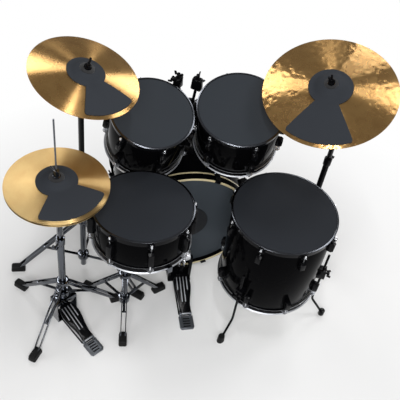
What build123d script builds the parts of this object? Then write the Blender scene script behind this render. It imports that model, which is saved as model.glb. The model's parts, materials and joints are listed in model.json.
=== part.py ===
from build123d import *
import os
from math import asin, cos, degrees, radians, sin, sqrt

# Acoustic drum kit with mute pads. X runs to the drummer's right, Y away from the drummer, Z up.
# The origin lies on the floor under the middle of the kit, and every size is in millimetres.

# Bass drum, which the rest of the kit stands round
BASS_R = 272.0
BASS_DEPTH = 404.0
BASS_FLOOR_GAP = 4.0
BASS_HOOP_PLAY = 2.5
BASS_HOOP_THICK = 11.5
BASS_HOOP_WIDE = 38.0
BASS_HEAD_RECESS = 26.0
BASS_OUTER = BASS_R + BASS_HOOP_PLAY + BASS_HOOP_THICK
BASS_CROWN = BASS_FLOOR_GAP + BASS_OUTER + BASS_R

# Where things stand: rim centres of the drums and cymbals, feet of the stands and pedals
BASS_X = 0.0
BASS_FACE_Y = -12.0
LEFT_TOM_X = -162.0
LEFT_TOM_Y = 71.0
LEFT_TOM_RISE = 291.0
LEFT_TOM_TILT = 15.1
LEFT_TOM_TOWARD = -76.0
RIGHT_TOM_X = 174.0
RIGHT_TOM_Y = 73.0
RIGHT_TOM_RISE = 297.0
RIGHT_TOM_TILT = 14.0
RIGHT_TOM_TOWARD = -108.0
FLOOR_TOM_OUT = 42.0
FLOOR_TOM_Y = -218.0
FLOOR_TOM_TOP = 594.0
SNARE_IN = 65.5
SNARE_Y = -235.0
SNARE_TOP = 692.5
SNARE_TILT = 4.9
SNARE_TOWARD = 90.0
HIHAT_OUT = 230.0
HIHAT_Y = -212.0
HIHAT_TOP = 791.0
CRASH_OUT = 124.0
CRASH_Y = 13.0
CRASH_RISE_OVER = 506.0
CRASH_TILT = 15.3
CRASH_TOWARD = -21.0
RIDE_OUT = 196.0
RIDE_Y = 26.0
RIDE_RISE_OVER = 410.0
RIDE_TILT = 17.9
RIDE_TOWARD = -143.0
RIDE_STAND_OUT = 107.0
RIDE_STAND_Y = 66.0
RIDE_BOOM_RISE = 208.0
TOM_POST_Y = 185.0
BASS_PEDAL_X = -10.0
HIHAT_PEDAL_TURN = 32.0
LEFT_TOM_RIM = (LEFT_TOM_X, LEFT_TOM_Y, BASS_CROWN + LEFT_TOM_RISE)
RIGHT_TOM_RIM = (RIGHT_TOM_X, RIGHT_TOM_Y, BASS_CROWN + RIGHT_TOM_RISE)
FLOOR_TOM_RIM = (BASS_OUTER + FLOOR_TOM_OUT, FLOOR_TOM_Y, FLOOR_TOM_TOP)
SNARE_RIM = (SNARE_IN - BASS_OUTER, SNARE_Y, SNARE_TOP)
HIHAT_RIM = (-BASS_OUTER - HIHAT_OUT, HIHAT_Y, HIHAT_TOP)
CRASH_RIM = (-BASS_OUTER - CRASH_OUT, CRASH_Y, BASS_CROWN + CRASH_RISE_OVER)
RIDE_RIM = (BASS_OUTER + RIDE_OUT, RIDE_Y, BASS_CROWN + RIDE_RISE_OVER)
RIDE_STAND_X = BASS_OUTER + RIDE_OUT + RIDE_STAND_OUT
RIDE_BOOM_JOINT_Z = BASS_CROWN + RIDE_BOOM_RISE

# Drum shells
LEFT_TOM_R = 149.0
RIGHT_TOM_R = 161.5
RACK_TOM_DEPTH = 203.0
FLOOR_TOM_R = 199.0
FLOOR_TOM_DEPTH = 381.0
SNARE_R = 176.5
SNARE_DEPTH = 140.0
SHELL_WALL = 7.0
TOM_LUGS = 6
FLOOR_TOM_LUGS = 8
SNARE_LUGS = 8
LEFT_TOM_LUG_START = 27.0
RIGHT_TOM_LUG_START = 57.0
FLOOR_TOM_LUG_START = 7.0
SNARE_LUG_START = 2.0

# Metal counterhoops, heads and mute pads
RIM_TO_HEAD = 9.0
HEAD_THICK = 1.0
HEAD_LAP = 1.6
HOOP_PLAY = 2.0
HOOP_WALL = 2.6
HOOP_HEIGHT = 24.0
RIM_FLARE = 4.4
RIM_DROP = 1.6
RIM_UNDERCUT = 5.0
EAR_THICK = 3.0
EAR_REACH = 20.0
EAR_WIDTH = 26.0
EAR_TIP_WIDTH = 12.0
PAD_THICK = 8.5
PAD_PLAY = 0.8
PAD_EDGE = 1.5

# Lugs and tension rods
ROD_OUT = 13.0
ROD_R = 2.7
ROD_HOLE_PLAY = 0.5
WASHER_R = 6.0
WASHER_THICK = 2.0
KEY_HEAD = 6.4
KEY_HEAD_TALL = 11.0
LUG_WIDTH = 19.0
LUG_OUT = 23.0
LUG_SHOULDER = 8.0
LUG_TALL = 46.0
LUG_DROP = 45.0

# Bass drum pad, claws and lugs
BASS_PAD_THICK = 9.0
BASS_PATCH_R = 100.0
BASS_PATCH_THICK = 2.0
BASS_CLAWS = 8
CLAW_WIDTH = 24.0
CLAW_WALL = 5.0
CLAW_LIP = 9.0
CLAW_EAR = 20.0
CLAW_PLAY = 0.3
T_BAR_LONG = 42.0
T_BAR_R = 4.0
T_BAR_GAP = 3.0
BASS_LUG_DROP = 96.0
BASS_LUG_TALL = 52.0

# Bass drum spurs
SPUR_Y = 262.0
SPUR_ANGLE = 45.0
SPUR_BLOCK = 30.0
SPUR_PAD = 9.0
SPUR_STANDOFF = 24.0
SPUR_R = 7.0
SPUR_EYE_R = 13.0
SPUR_EYE_WIDE = 14.0
SPUR_OUT = 0.5
SPUR_FORWARD = 0.3
SPUR_DOWN = 0.81
SPUR_TIP_R = 11.0
SPUR_TIP_LONG = 22.0

# Double tom holder
POST_R = 12.7
SLIDE_PLAY = 0.06
SLEEVE_WALL = 6.0
SLEEVE_TALL = 78.0
HOLDER_PLATE_LONG = 92.0
HOLDER_PLATE_WIDE = 62.0
HOLDER_PLATE_TALL = 14.0
POST_OVER = 1.0
ARM_COLLAR_TALL = 24.0
POST_CAP_TALL = 8.0
LEFT_ARM_RISE = 195.0
RIGHT_ARM_RISE = 223.0
LEFT_ARM_Z = BASS_CROWN + LEFT_ARM_RISE
RIGHT_ARM_Z = BASS_CROWN + RIGHT_ARM_RISE
POST_TOP_Z = RIGHT_ARM_Z + ARM_COLLAR_TALL / 2 + POST_OVER
ARM_COLLAR_WALL = 7.5
ARM_R = 6.35
TOM_MOUNT_WIDE = 34.0
TOM_MOUNT_TALL = 36.0
TOM_MOUNT_REACH = 15.0
ARM_DEPTH_IN_MOUNT = 11.0
STALK_R = 6.0
STALK_ROOT = 28.0
STALK_HEAD_WIDE = 34.0
STALK_HEAD_DEEP = 24.0
STALK_HEAD_TALL = 42.0
LEFT_STALK_TURN = 140.0
LEFT_STALK_OUT = 62.0
LEFT_STALK_RISE = 110.0
RIGHT_STALK_TURN = 55.0
RIGHT_STALK_OUT = 49.0
RIGHT_STALK_RISE = 70.0

# Floor tom legs
LEG_R = 5.0
LEG_OUT = 20.0
LEG_ANGLES = {"left": 222.5, "right": 339.0, "back": 79.0}
LEG_TOP_Z = 400.0
LEG_KNEE_Z = 96.0
LEG_FOOT_R = 281.0
LEG_BEND_R = 40.0
LEG_BRACKET_Z = 285.0
LEG_BRACKET_TALL = 50.0
LEG_BRACKET_WIDE = 32.0
LEG_BRACKET_WALL = 8.0
LEG_SHOE_R = 13.0
LEG_SHOE_TALL = 26.0

# Snare strainer and wires
STRAINER_ANGLE = 347.5
STRAINER_WIDE = 30.0
STRAINER_OUT = 14.0
STRAINER_TALL = 56.0
LEVER_WIDE = 16.0
LEVER_THICK = 5.0
LEVER_LONG = 46.0
LEVER_PIN_R = 2.2
LEVER_EYE_R = 5.0
LEVER_PLAY = 0.4
WIRE_COUNT = 12
WIRE_PITCH = 3.4
WIRE_SIZE = 1.8
WIRE_LONG = 296.0
WIRE_CLIP_LONG = 16.0

# Tripods: two strips to a leg, a brace from the lower collar to a pin between the strips
STRIP_GAP = 15.0
STRIP_THICK = 4.0
STRIP_HIGH = 12.0
BRACE_WIDE = 11.0
BRACE_THICK = 4.0
PIN_R = 4.0
BRACE_REACH = 0.56
COLLAR_WALL = 11.0
COLLAR_TALL = 26.0
SHOE_LONG = 56.0
SHOE_WIDE = 25.0
SHOE_TALL = 22.0
LEG_LOW = 15.0

# Stand tubes
TUBE_R = 12.7
TUBE_WALL = 2.1
INNER_TUBE_WALL = 1.8
CLAMP_WALL = 6.0
CLAMP_TALL = 34.0
WING_LONG = 26.0
WING_R = 4.0

# Snare stand
SNARE_STAND_IN = 20.0
SNARE_STAND_X = SNARE_STAND_IN - BASS_OUTER
SNARE_STAND_Y = -199.0
SNARE_LEG_TURNS = (263.5, 23.5, 143.5)
SNARE_STAND_SPREAD = 172.0
SNARE_STAND_LOW = 62.0
SNARE_STAND_HIGH = 226.0
SNARE_TUBE_TOP = 322.0
SNARE_INNER_FOOT = 150.0
BASKET_DROP = 44.0
BASKET_HUB_R = 20.0
BASKET_HUB_TALL = 18.0
BASKET_ARM_R = 5.0
BASKET_PIVOT_DROP = 36.0
BASKET_EYE_R = 13.0
BASKET_EYE_WIDE = 22.0
BASKET_STEM_R = 7.0
BASKET_PIN_R = 4.0
CRADLE_START = 114.5
CRADLE_LONG = 34.0
CRADLE_THICK = 9.0
CRADLE_LIP = 18.0

# Hi-hat stand
HIHAT_TUBE_R = 14.0
HIHAT_LEG_TURNS = (238.0, 12.0, 140.0)
HIHAT_SPREAD = 228.0
HIHAT_LOW = 156.0
HIHAT_HIGH = 226.0
HIHAT_TUBE_TOP = 470.0
HIHAT_INNER_FOOT = 330.0
HIHAT_GAP = 7.0
HIHAT_ROD_R = 3.0
HIHAT_ROD_TOP = 1085.0
HIHAT_BORE_PLAY = 1.0
HIHAT_SEAT_R = 22.0
HIHAT_SEAT_THICK = 7.0
HIHAT_BRIDGE_Z = 112.0
HIHAT_BRIDGE_TALL = 18.0
HIHAT_LIFT = 20.0
HIHAT_SIDE_X = 46.0
HIHAT_SIDE_THICK = 3.5
HIHAT_SIDE_DEEP = 52.0
HIHAT_BASE_THICK = 4.0
CLUTCH_TUBE_R = 5.5
CLUTCH_FELT_R = 14.0
CLUTCH_FELT_TALL = 6.0
CLUTCH_R = 10.0
CLUTCH_TALL = 26.0
STRAP_WIDE = 14.0
STRAP_THICK = 4.0
STRAP_GAP = 0.8

# Cymbals
CYMBAL_THICK = 1.6
CYMBAL_HOLE_R = 6.5
BOW_BULGE = 0.18
BELL_BULGE = 0.26
HIHAT_R = 178.0
HIHAT_RISE = 17.0
HIHAT_BELL_R = 50.0
HIHAT_BELL_RISE = 19.0
CRASH_R = 190.0
CRASH_RISE = 19.0
CRASH_BELL_R = 52.0
CRASH_BELL_RISE = 19.0
RIDE_R = 250.0
RIDE_RISE = 25.0
RIDE_BELL_R = 64.0
RIDE_BELL_RISE = 23.0
QUARTER_TURN = 90.0

# Cymbal mute pads: a ring over the bell and a wedge that runs out to the rim
SKIN_THICK = 4.0
SKIN_PLAY = 0.05
SKIN_HOLE_R = 26.0
SKIN_RIM_GAP = 13.0
HIHAT_HUB_R = 80.0
HIHAT_WEDGE = (-114.0, -19.0)
CRASH_HUB_R = 76.0
CRASH_WEDGE = (-93.0, -27.0)
RIDE_HUB_R = 92.0
RIDE_WEDGE = (-148.0, -85.0)

# Cymbal tilters
TILTER_DROP = 55.0
TILTER_EYE_R = 11.0
TILTER_EYE_WIDE = 14.0
TILTER_PIN_R = 4.0
FORK_THICK = 4.0
FORK_PLAY = 0.3
FORK_WIDE = 20.0
FORK_BELOW = 15.0
STEM_R = 4.0
STEM_OVER = 34.0
FELT_R = 13.0
FELT_TALL = 10.0
FELT_FLAT_R = 6.0
FELT_SLOPE = 3.0
FELT_GAP = 0.8
NUT_R = 7.0
NUT_TALL = 11.0
NUT_WING = 15.0
NUT_WING_THICK = 4.0

# Crash and ride stands
STAND_LOW = 92.0
RIDE_STAND_HIGH = 232.0
CRASH_STAND_HIGH = 330.0
CRASH_LEG_TURNS = (178.0, 322.0, 70.0)
CRASH_SPREAD = 280.0
CRASH_TUBE_TOP = 640.0
CRASH_INNER_FOOT = 420.0
RIDE_LEG_TURNS = (48.0, 168.0, 288.0)
RIDE_SPREAD = 175.0
RIDE_TUBE_TOP = 548.0
RIDE_INNER_FOOT = 360.0
BOOM_R = 6.35
BOOM_TAIL = 95.0
BOOM_EYE_R = 16.0
BOOM_EYE_WIDE = 22.0
BOOM_CAP_R = 10.0
BOOM_CAP_LONG = 24.0

# Foot pedals
BOARD_LONG = 180.0
BOARD_THICK = 6.0
BOARD_RISE = 16.0
BOARD_GAP = 8.0
BOARD_HEEL_HALF = 25.0
BOARD_WAIST_HALF = 27.0
BOARD_WIDE_HALF = 37.0
BOARD_TOE_HALF = 19.0
RIB_WIDE = 4.0
RIB_TALL = 1.5
RIB_LONG = 112.0
RIB_SHORT = 58.0
RIB_IN = 7.0
RIB_OUT = 21.0
HINGE_Z = 14.0
HINGE_PIN_R = 3.5
HINGE_EYE_R = 7.0
HINGE_PLAY = 0.08
HINGE_HALF = 17.0
HEEL_EAR_WIDE = 8.0
HEEL_LONG = 62.0
HEEL_HALF = 30.0
HEEL_END_HALF = 24.0
HEEL_THICK = 9.0
HEEL_SLOT_WIDE = 6.0
HEEL_SLOT_DEEP = 2.0
HEEL_SLOTS = 4
RAIL_R = 3.0
RAIL_X = 26.0
TOE_SHORT = 8.0
TOE_PULL = BOARD_LONG - TOE_SHORT
PEDAL_PLATE_THICK = 4.0
PEDAL_POST_X = 44.0
PEDAL_POST_WIDE = 13.0
PEDAL_POST_DEEP = 22.0
PEDAL_POST_TOP = 144.0
PEDAL_AXLE_Z = 126.0
PEDAL_AXLE_R = 5.0
PEDAL_CAM_R = 30.0
PEDAL_CAM_GAP = 16.0
PEDAL_CHEEK_THICK = 4.0
PEDAL_HUB_R = 9.0
PEDAL_AXLE_AHEAD = 2.0
PEDAL_AXLE_Y = TOE_PULL + PEDAL_CAM_R + PEDAL_AXLE_AHEAD
PEDAL_TO_HOOP = 58.0
BASS_PEDAL_HINGE_Y = BASS_FACE_Y - PEDAL_TO_HOOP - PEDAL_AXLE_Y
CLAMP_JAW_WIDE = 34.0
CLAMP_JAW_TALL = 8.0
CLAMP_GAP = 2.2
BEATER_BACK = 26.0
BEATER_LONG = 134.0
BEATER_SHAFT_R = 4.0
BEATER_R = 25.0
BEATER_WIDE = 34.0
BEATER_CORE_R = 8.0
BEATER_CORE_WIDE = 40.0

os.makedirs("parts", exist_ok=True)


def flat(shapes):
    """Return the solids of shapes and lists of shapes in one list."""
    if isinstance(shapes, (list, tuple)):
        return [solid for shape in shapes for solid in flat(shape)]
    return list(shapes.solids())


def keep(node, *shapes):
    """Write one sub-part: every solid given, side by side in one file."""
    export_step(Compound(flat(shapes)), f"parts/{node}.step")


def leaning(point, tilt=0.0, toward=0.0):
    """Frame at a point whose Z leans from upright by tilt degrees in the direction toward."""
    if not tilt:
        return Plane(origin=point)
    lean = radians(tilt)
    way = radians(toward)
    up = Vector(sin(lean) * cos(way), sin(lean) * sin(way), cos(lean))
    return Plane(origin=point, x_dir=(-sin(way), cos(way), 0), z_dir=up)


def rod(start, end, radius):
    """Round bar between two points."""
    run = Vector(end) - Vector(start)
    return Solid.make_cylinder(radius, run.length, Plane(origin=start, z_dir=run))


def bar(start, end, wide, thick, side):
    """Flat bar between two points, wide along the side direction."""
    run = Vector(end) - Vector(start)
    middle = (Vector(start) + Vector(end)) * 0.5
    return Plane(origin=middle, x_dir=side, z_dir=run) * Box(wide, thick, run.length)


def upright(x, y, low, high, radius, bore=0.0):
    """Standing round bar, or tube where a bore is given."""
    place = Pos(x, y, (low + high) / 2)
    body = Cylinder(radius, high - low)
    if bore:
        body = body - Cylinder(bore, high - low)
    return place * body


def turned(points):
    """Lathe-turned solid from (radius, height) points."""
    return revolve(Plane.XZ * Polygon(*points, align=None), Axis.Z)


def around(shape, count, start):
    """Copies of a shape spaced evenly about Z."""
    step = 360.0 / count
    return [Rot(0, 0, start + step * index) * shape for index in range(count)]


class Drum:
    """Drum with metal hoops about its own axis: batter rim at z = 0, everything else below."""

    def __init__(self, name, place, radius, depth, lugs, start, long_lug=False):
        self.name = name
        self.place = place
        self.radius = radius
        self.depth = depth
        self.lugs = lugs
        self.start = start
        self.long_lug = long_lug
        self.edge = RIM_TO_HEAD + HEAD_THICK
        self.height = depth + 2 * self.edge
        self.wall_in = radius + HOOP_PLAY
        self.wall_out = self.wall_in + HOOP_WALL

    def both_ends(self, shape):
        """The shape and its mirror image at the other end of the drum."""
        return [shape, mirror(shape, Plane.XY.offset(-self.height / 2))]

    def body(self):
        """Solid cylinder of the shell's outside."""
        return Pos(0, 0, -self.height / 2) * Cylinder(self.radius, self.depth)

    def shell(self):
        bore = Pos(0, 0, -self.height / 2) * Cylinder(self.radius - SHELL_WALL, self.depth)
        return self.body() - bore

    def heads(self):
        z = -RIM_TO_HEAD - HEAD_THICK / 2
        return self.both_ends(Pos(0, 0, z) * Cylinder(self.radius + HEAD_LAP, HEAD_THICK))

    def hoops(self):
        ring = turned(
            [
                (self.wall_in, 0),
                (self.wall_out + RIM_FLARE, -RIM_DROP),
                (self.wall_out, -RIM_UNDERCUT),
                (self.wall_out, -HOOP_HEIGHT),
                (self.wall_in, -HOOP_HEIGHT),
            ]
        )
        inner = (self.wall_in + self.wall_out) / 2
        tip = self.radius + EAR_REACH
        neck = tip - (EAR_WIDTH - EAR_TIP_WIDTH) / 2
        half = EAR_WIDTH / 2
        end = EAR_TIP_WIDTH / 2
        right = [(inner, half), (neck, half), (tip, end)]
        left = [(tip, -end), (neck, -half), (inner, -half)]
        tab = Polygon(*right, *left, align=None)
        hole = Pos(self.radius + ROD_OUT, 0) * RegularPolygon(ROD_R + ROD_HOLE_PLAY, 6)
        ear = extrude(Plane.XY.offset(-HOOP_HEIGHT) * (tab - hole), EAR_THICK, dir=(0, 0, 1))
        return self.both_ends(ring + around(ear, self.lugs, self.start))

    def lug_heights(self):
        """Top and bottom of one lug, measured down from the batter rim."""
        if self.long_lug:
            return LUG_DROP, self.height - LUG_DROP
        return LUG_DROP, LUG_DROP + LUG_TALL

    def lug_blocks(self):
        high, low = self.lug_heights()
        seat = self.radius - LUG_SHOULDER
        shoulder = self.radius + LUG_OUT - LUG_SHOULDER
        face = self.radius + LUG_OUT
        outline = Polygon(
            (seat, -high),
            (shoulder, -high),
            (face, -high - LUG_SHOULDER),
            (face, -low + LUG_SHOULDER),
            (shoulder, -low),
            (seat, -low),
            align=None,
        )
        block = extrude(Plane.XZ * outline, LUG_WIDTH / 2, both=True) - self.body()
        if self.long_lug:
            return around(block, self.lugs, self.start)
        return self.both_ends(Compound(flat(around(block, self.lugs, self.start))))

    def rods(self):
        high, low = self.lug_heights()
        top = -HOOP_HEIGHT + EAR_THICK
        shank = extrude(Plane.XY.offset(-high) * RegularPolygon(ROD_R, 6), high + top)
        washer = extrude(Plane.XY.offset(top) * RegularPolygon(WASHER_R, 6), WASHER_THICK)
        head = Pos(0, 0, top + WASHER_THICK + KEY_HEAD_TALL / 2) * Box(KEY_HEAD, KEY_HEAD, KEY_HEAD_TALL)
        one = Pos(self.radius + ROD_OUT, 0, 0) * (shank + washer + head)
        return self.both_ends(Compound(flat(around(one, self.lugs, self.start))))

    def pad(self):
        low = -RIM_TO_HEAD
        high = low + PAD_THICK
        edge = self.wall_in - PAD_PLAY
        return turned([(0, low), (edge, low), (edge, high - PAD_EDGE), (edge - PAD_EDGE, high), (0, high)])

    def keep_common(self, *fittings):
        """Write the pieces that every drum has; fittings join the lugs, already in the kit's frame."""
        keep(f"{self.name}_shell", self.place * self.shell())
        keep(f"{self.name}_heads", [self.place * head for head in self.heads()])
        keep(f"{self.name}_hoops", [self.place * hoop for hoop in self.hoops()])
        lugs = [self.place * lug for lug in self.lug_blocks()]
        rods = [self.place * tension for tension in self.rods()]
        keep(f"{self.name}_lugs_and_rods", lugs, rods, *fittings)
        keep(f"{self.name}_mute_pad", self.place * self.pad())


class Cymbal:
    """Cymbal about its own axis: rim edge at z = 0, bell upwards."""

    def __init__(self, radius, rise, bell_r, bell_rise):
        self.radius = radius
        self.rise = rise
        self.bell_r = bell_r
        self.bell_rise = bell_rise
        self.top = rise + bell_rise

    def curve(self, lift, inner):
        """Profile of the lower face, lifted, from the rim to the inner radius."""
        low = Vector(self.radius, 0, lift)
        knee = Vector(self.bell_r, 0, lift + self.rise)
        crown = Vector(inner, 0, lift + self.top)
        bow_middle = (low + knee) * 0.5 + Vector(0, 0, self.rise * BOW_BULGE)
        bell_middle = (knee + crown) * 0.5 + Vector(0, 0, self.bell_rise * BELL_BULGE)
        return [ThreePointArc(low, bow_middle, knee), ThreePointArc(knee, bell_middle, crown)]

    def layer(self, lift, thick, inner):
        """Sheet of one thickness that follows the cymbal's bow and bell."""
        lower = self.curve(lift, inner)
        upper = self.curve(lift + thick, inner)
        rim = Line(lower[0] @ 0, upper[0] @ 0)
        bore = Line(lower[1] @ 1, upper[1] @ 1)
        return revolve(make_face(Curve() + lower + upper + [rim, bore]), Axis.Z)

    def disc(self):
        return self.layer(0, CYMBAL_THICK, CYMBAL_HOLE_R)

    def skin(self, hub_r, wedge, turn):
        """Mute pad over the upper face: hub ring and a wedge between two directions."""
        reach = self.radius - SKIN_RIM_GAP
        sheet = self.layer(CYMBAL_THICK + SKIN_PLAY, SKIN_THICK, CYMBAL_HOLE_R)
        first, last = [angle - turn for angle in wedge]
        middle = (first + last) / 2
        corners = [Vector(reach, 0).rotate(Axis.Z, angle) for angle in (first, middle, last)]
        fan = make_face([Line((0, 0), corners[0]), ThreePointArc(*corners), Line(corners[2], (0, 0))])
        outline = fan + Circle(hub_r) - Circle(SKIN_HOLE_R)
        return sheet & extrude(outline, self.top + self.radius, dir=(0, 0, 1))


def tripod(x, y, turns, spread, low, high, tube_r):
    """Legs, braces, feet and collars of a folding tripod, set up."""
    pieces = []
    reach = tube_r + COLLAR_WALL
    upper = upright(x, y, high - COLLAR_TALL / 2, high + COLLAR_TALL / 2, reach, tube_r)
    lower = upright(x, y, low - COLLAR_TALL / 2, low + COLLAR_TALL / 2, reach, tube_r)
    core = upright(x, y, 0, high + COLLAR_TALL, reach)
    for turn in turns:
        way = radians(turn)
        out = Vector(cos(way), sin(way), 0)
        side = Vector(-sin(way), cos(way), 0)
        base = Vector(x, y, 0)
        hip = base + out * tube_r + Vector(0, 0, high)
        ankle = base + out * spread + Vector(0, 0, LEG_LOW)
        heel = base + out * spread + Vector(0, 0, SHOE_TALL / 2)
        shoe = Pos(*heel) * Rot(0, 0, turn) * Box(SHOE_LONG, SHOE_WIDE, SHOE_TALL)
        shift = side * ((STRIP_GAP + STRIP_THICK) / 2)
        moves = (shift, shift * -1)
        strips = [bar(hip + move, ankle + move, STRIP_THICK, STRIP_HIGH, side) for move in moves]
        pieces += [strip - shoe - core for strip in strips]
        joint = hip + (ankle - hip) * BRACE_REACH
        pin = extrude(Plane(origin=joint, z_dir=side) * RegularPolygon(PIN_R, 6), STRIP_GAP / 2, both=True)
        root = base + out * tube_r + Vector(0, 0, low)
        brace = bar(root, joint, BRACE_WIDE, BRACE_THICK, side)
        pieces += [pin, brace - pin - core, shoe]
    return pieces + [upper, lower]


def clamp(x, y, z, bore, way):
    """Height clamp on top of a tube, with a wing bolt pointing in the direction way."""
    outer = bore + CLAMP_WALL
    ring = upright(x, y, z, z + CLAMP_TALL, outer, bore)
    turn = radians(way)
    out = Vector(cos(turn), sin(turn), 0)
    middle = Vector(x, y, z + CLAMP_TALL / 2)
    bolt = rod(middle + out * (bore + CLAMP_WALL / 2), middle + out * (outer + WING_LONG), WING_R)
    wing = bar(
        middle + out * (outer + WING_LONG / 2),
        middle + out * (outer + WING_LONG),
        WING_R,
        WING_LONG,
        Vector(0, 0, 1),
    )
    return ring + bolt + wing


def bass_drum():
    """Bass drum on its side: batter hoop face towards the drummer."""
    outer = BASS_OUTER
    axis_z = outer + BASS_FLOOR_GAP
    place = Plane(origin=(BASS_X, BASS_FACE_Y, axis_z), x_dir=(1, 0, 0), z_dir=(0, -1, 0))
    edge = BASS_HEAD_RECESS + HEAD_THICK
    height = BASS_DEPTH + 2 * edge
    middle = Plane.XY.offset(-height / 2)
    body = Pos(0, 0, -height / 2) * Cylinder(BASS_R, BASS_DEPTH)
    shell = body - Pos(0, 0, -height / 2) * Cylinder(BASS_R - SHELL_WALL, BASS_DEPTH)
    inner = BASS_R + BASS_HOOP_PLAY
    ring = Cylinder(outer, BASS_HOOP_WIDE) - Cylinder(inner, BASS_HOOP_WIDE)
    hoop = Pos(0, 0, -BASS_HOOP_WIDE / 2) * ring
    head = Pos(0, 0, -BASS_HEAD_RECESS - HEAD_THICK / 2) * Cylinder(BASS_R + HEAD_LAP, HEAD_THICK)
    keep("bass_shell", place * shell)
    keep("bass_hoops", place * hoop, place * mirror(hoop, middle))
    keep("bass_heads", place * head, place * mirror(head, middle))
    low = -BASS_HEAD_RECESS
    face = low + BASS_PAD_THICK
    pad_r = inner - PAD_PLAY
    pad = turned(
        [
            (0, low),
            (pad_r, low),
            (pad_r, face - PAD_EDGE),
            (pad_r - PAD_EDGE, face),
            (BASS_PATCH_R, face),
            (BASS_PATCH_R, face + BASS_PATCH_THICK),
            (0, face + BASS_PATCH_THICK),
        ]
    )
    keep("bass_mute_pad", place * pad)

    # Claws hook over the hoops, and T-handled rods draw them to the lugs
    wall = outer + CLAW_PLAY
    back = -BASS_HOOP_WIDE - CLAW_PLAY
    ear_out = wall + CLAW_EAR
    hook = Polygon(
        (outer - CLAW_LIP, CLAW_PLAY),
        (outer - CLAW_LIP, CLAW_WALL),
        (wall + CLAW_WALL, CLAW_WALL),
        (wall + CLAW_WALL, back),
        (ear_out, back),
        (ear_out, back - CLAW_WALL),
        (wall, back - CLAW_WALL),
        (wall, CLAW_PLAY),
        align=None,
    )
    rod_r = (wall + CLAW_WALL + ear_out) / 2
    claw = extrude(Plane.XZ * hook, CLAW_WIDTH / 2, both=True)
    passage = Pos(rod_r, 0, back - CLAW_WALL / 2) * extrude(
        RegularPolygon(ROD_R + ROD_HOLE_PLAY, 6), CLAW_WALL, both=True
    )
    shank = extrude(
        Plane.XY.offset(-BASS_LUG_DROP) * Pos(rod_r, 0) * RegularPolygon(ROD_R, 6),
        BASS_LUG_DROP + back,
    )
    washer = extrude(Plane.XY.offset(back) * Pos(rod_r, 0) * RegularPolygon(WASHER_R, 6), WASHER_THICK)
    stalk = extrude(
        Plane.XY.offset(back + WASHER_THICK) * Pos(rod_r, 0) * RegularPolygon(ROD_R, 6),
        T_BAR_GAP + T_BAR_R,
    )
    bar_z = back + WASHER_THICK + T_BAR_GAP + T_BAR_R
    cross = extrude(
        Plane(origin=(rod_r, 0, bar_z), z_dir=(0, 1, 0)) * RegularPolygon(T_BAR_R, 6),
        T_BAR_LONG / 2,
        both=True,
    )
    half_turn = 180.0 / BASS_CLAWS
    claws = Compound(flat(around(claw - passage, BASS_CLAWS, half_turn)))
    rods = Compound(flat(around(shank + washer + stalk + cross, BASS_CLAWS, half_turn)))
    keep(
        "bass_claws_and_rods",
        [place * piece for piece in (claws, rods, mirror(claws, middle), mirror(rods, middle))],
    )
    lug_face = rod_r + LUG_SHOULDER
    lug_low = -BASS_LUG_DROP - BASS_LUG_TALL
    outline = Polygon(
        (BASS_R - LUG_SHOULDER, -BASS_LUG_DROP),
        (lug_face, -BASS_LUG_DROP),
        (lug_face, lug_low + 2 * LUG_SHOULDER),
        (lug_face - LUG_SHOULDER, lug_low),
        (BASS_R - LUG_SHOULDER, lug_low),
        align=None,
    )
    lug = extrude(Plane.XZ * outline, LUG_WIDTH / 2, both=True) - body
    lugs = Compound(flat(around(lug, BASS_CLAWS, half_turn)))

    # Spurs fold on brackets low on the shell
    brackets = []
    for name, hand in (("left", -1), ("right", 1)):
        angle = radians(SPUR_ANGLE)
        out = Vector(hand * cos(angle), 0, -sin(angle))
        centre = Vector(BASS_X, SPUR_Y, axis_z)
        pivot = centre + out * (BASS_R + SPUR_STANDOFF)
        lean = Vector(hand * SPUR_OUT, SPUR_FORWARD, -SPUR_DOWN).normalized()
        hinge = Vector(hand * SPUR_DOWN, 0, SPUR_OUT).normalized()
        face = pivot - hinge * (SPUR_EYE_WIDE / 2)
        seat = Plane(origin=face, x_dir=(0, 1, 0), z_dir=hinge)
        block = seat * Pos(0, 0, -SPUR_BLOCK / 2) * Box(SPUR_BLOCK, SPUR_BLOCK, SPUR_BLOCK)
        pin = rod(face, pivot + hinge * (SPUR_EYE_WIDE / 2), PIN_R)
        foot = Plane(origin=centre + out * BASS_R, x_dir=(0, 1, 0), z_dir=out)
        pad = foot * Pos(0, -hand * SPUR_BLOCK / 2, 0) * Box(SPUR_BLOCK, 2 * SPUR_BLOCK, 2 * SPUR_PAD)
        brackets.append(pad + block - place * body + pin)
        eye = rod(face, pivot + hinge * (SPUR_EYE_WIDE / 2), SPUR_EYE_R)
        eye = eye - rod(face, pivot + hinge * SPUR_EYE_WIDE, PIN_R + SLIDE_PLAY)
        run = (pivot.Z - SPUR_TIP_R) / -lean.Z
        tip = pivot + lean * run
        leg = rod(pivot + lean * (SPUR_EYE_R - SLEEVE_WALL), tip, SPUR_R)
        leg = leg - rod(face, pivot + hinge * SPUR_EYE_WIDE, PIN_R + SLIDE_PLAY)
        shoe = Pos(tip.X, tip.Y, SPUR_TIP_LONG / 2) * Cylinder(SPUR_TIP_R, SPUR_TIP_LONG)
        keep(f"bass_spur_{name}", eye + (leg - shoe), shoe)
    keep("bass_lugs_and_spur_brackets", place * lugs, place * mirror(lugs, middle), brackets)
    return place * body


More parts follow.
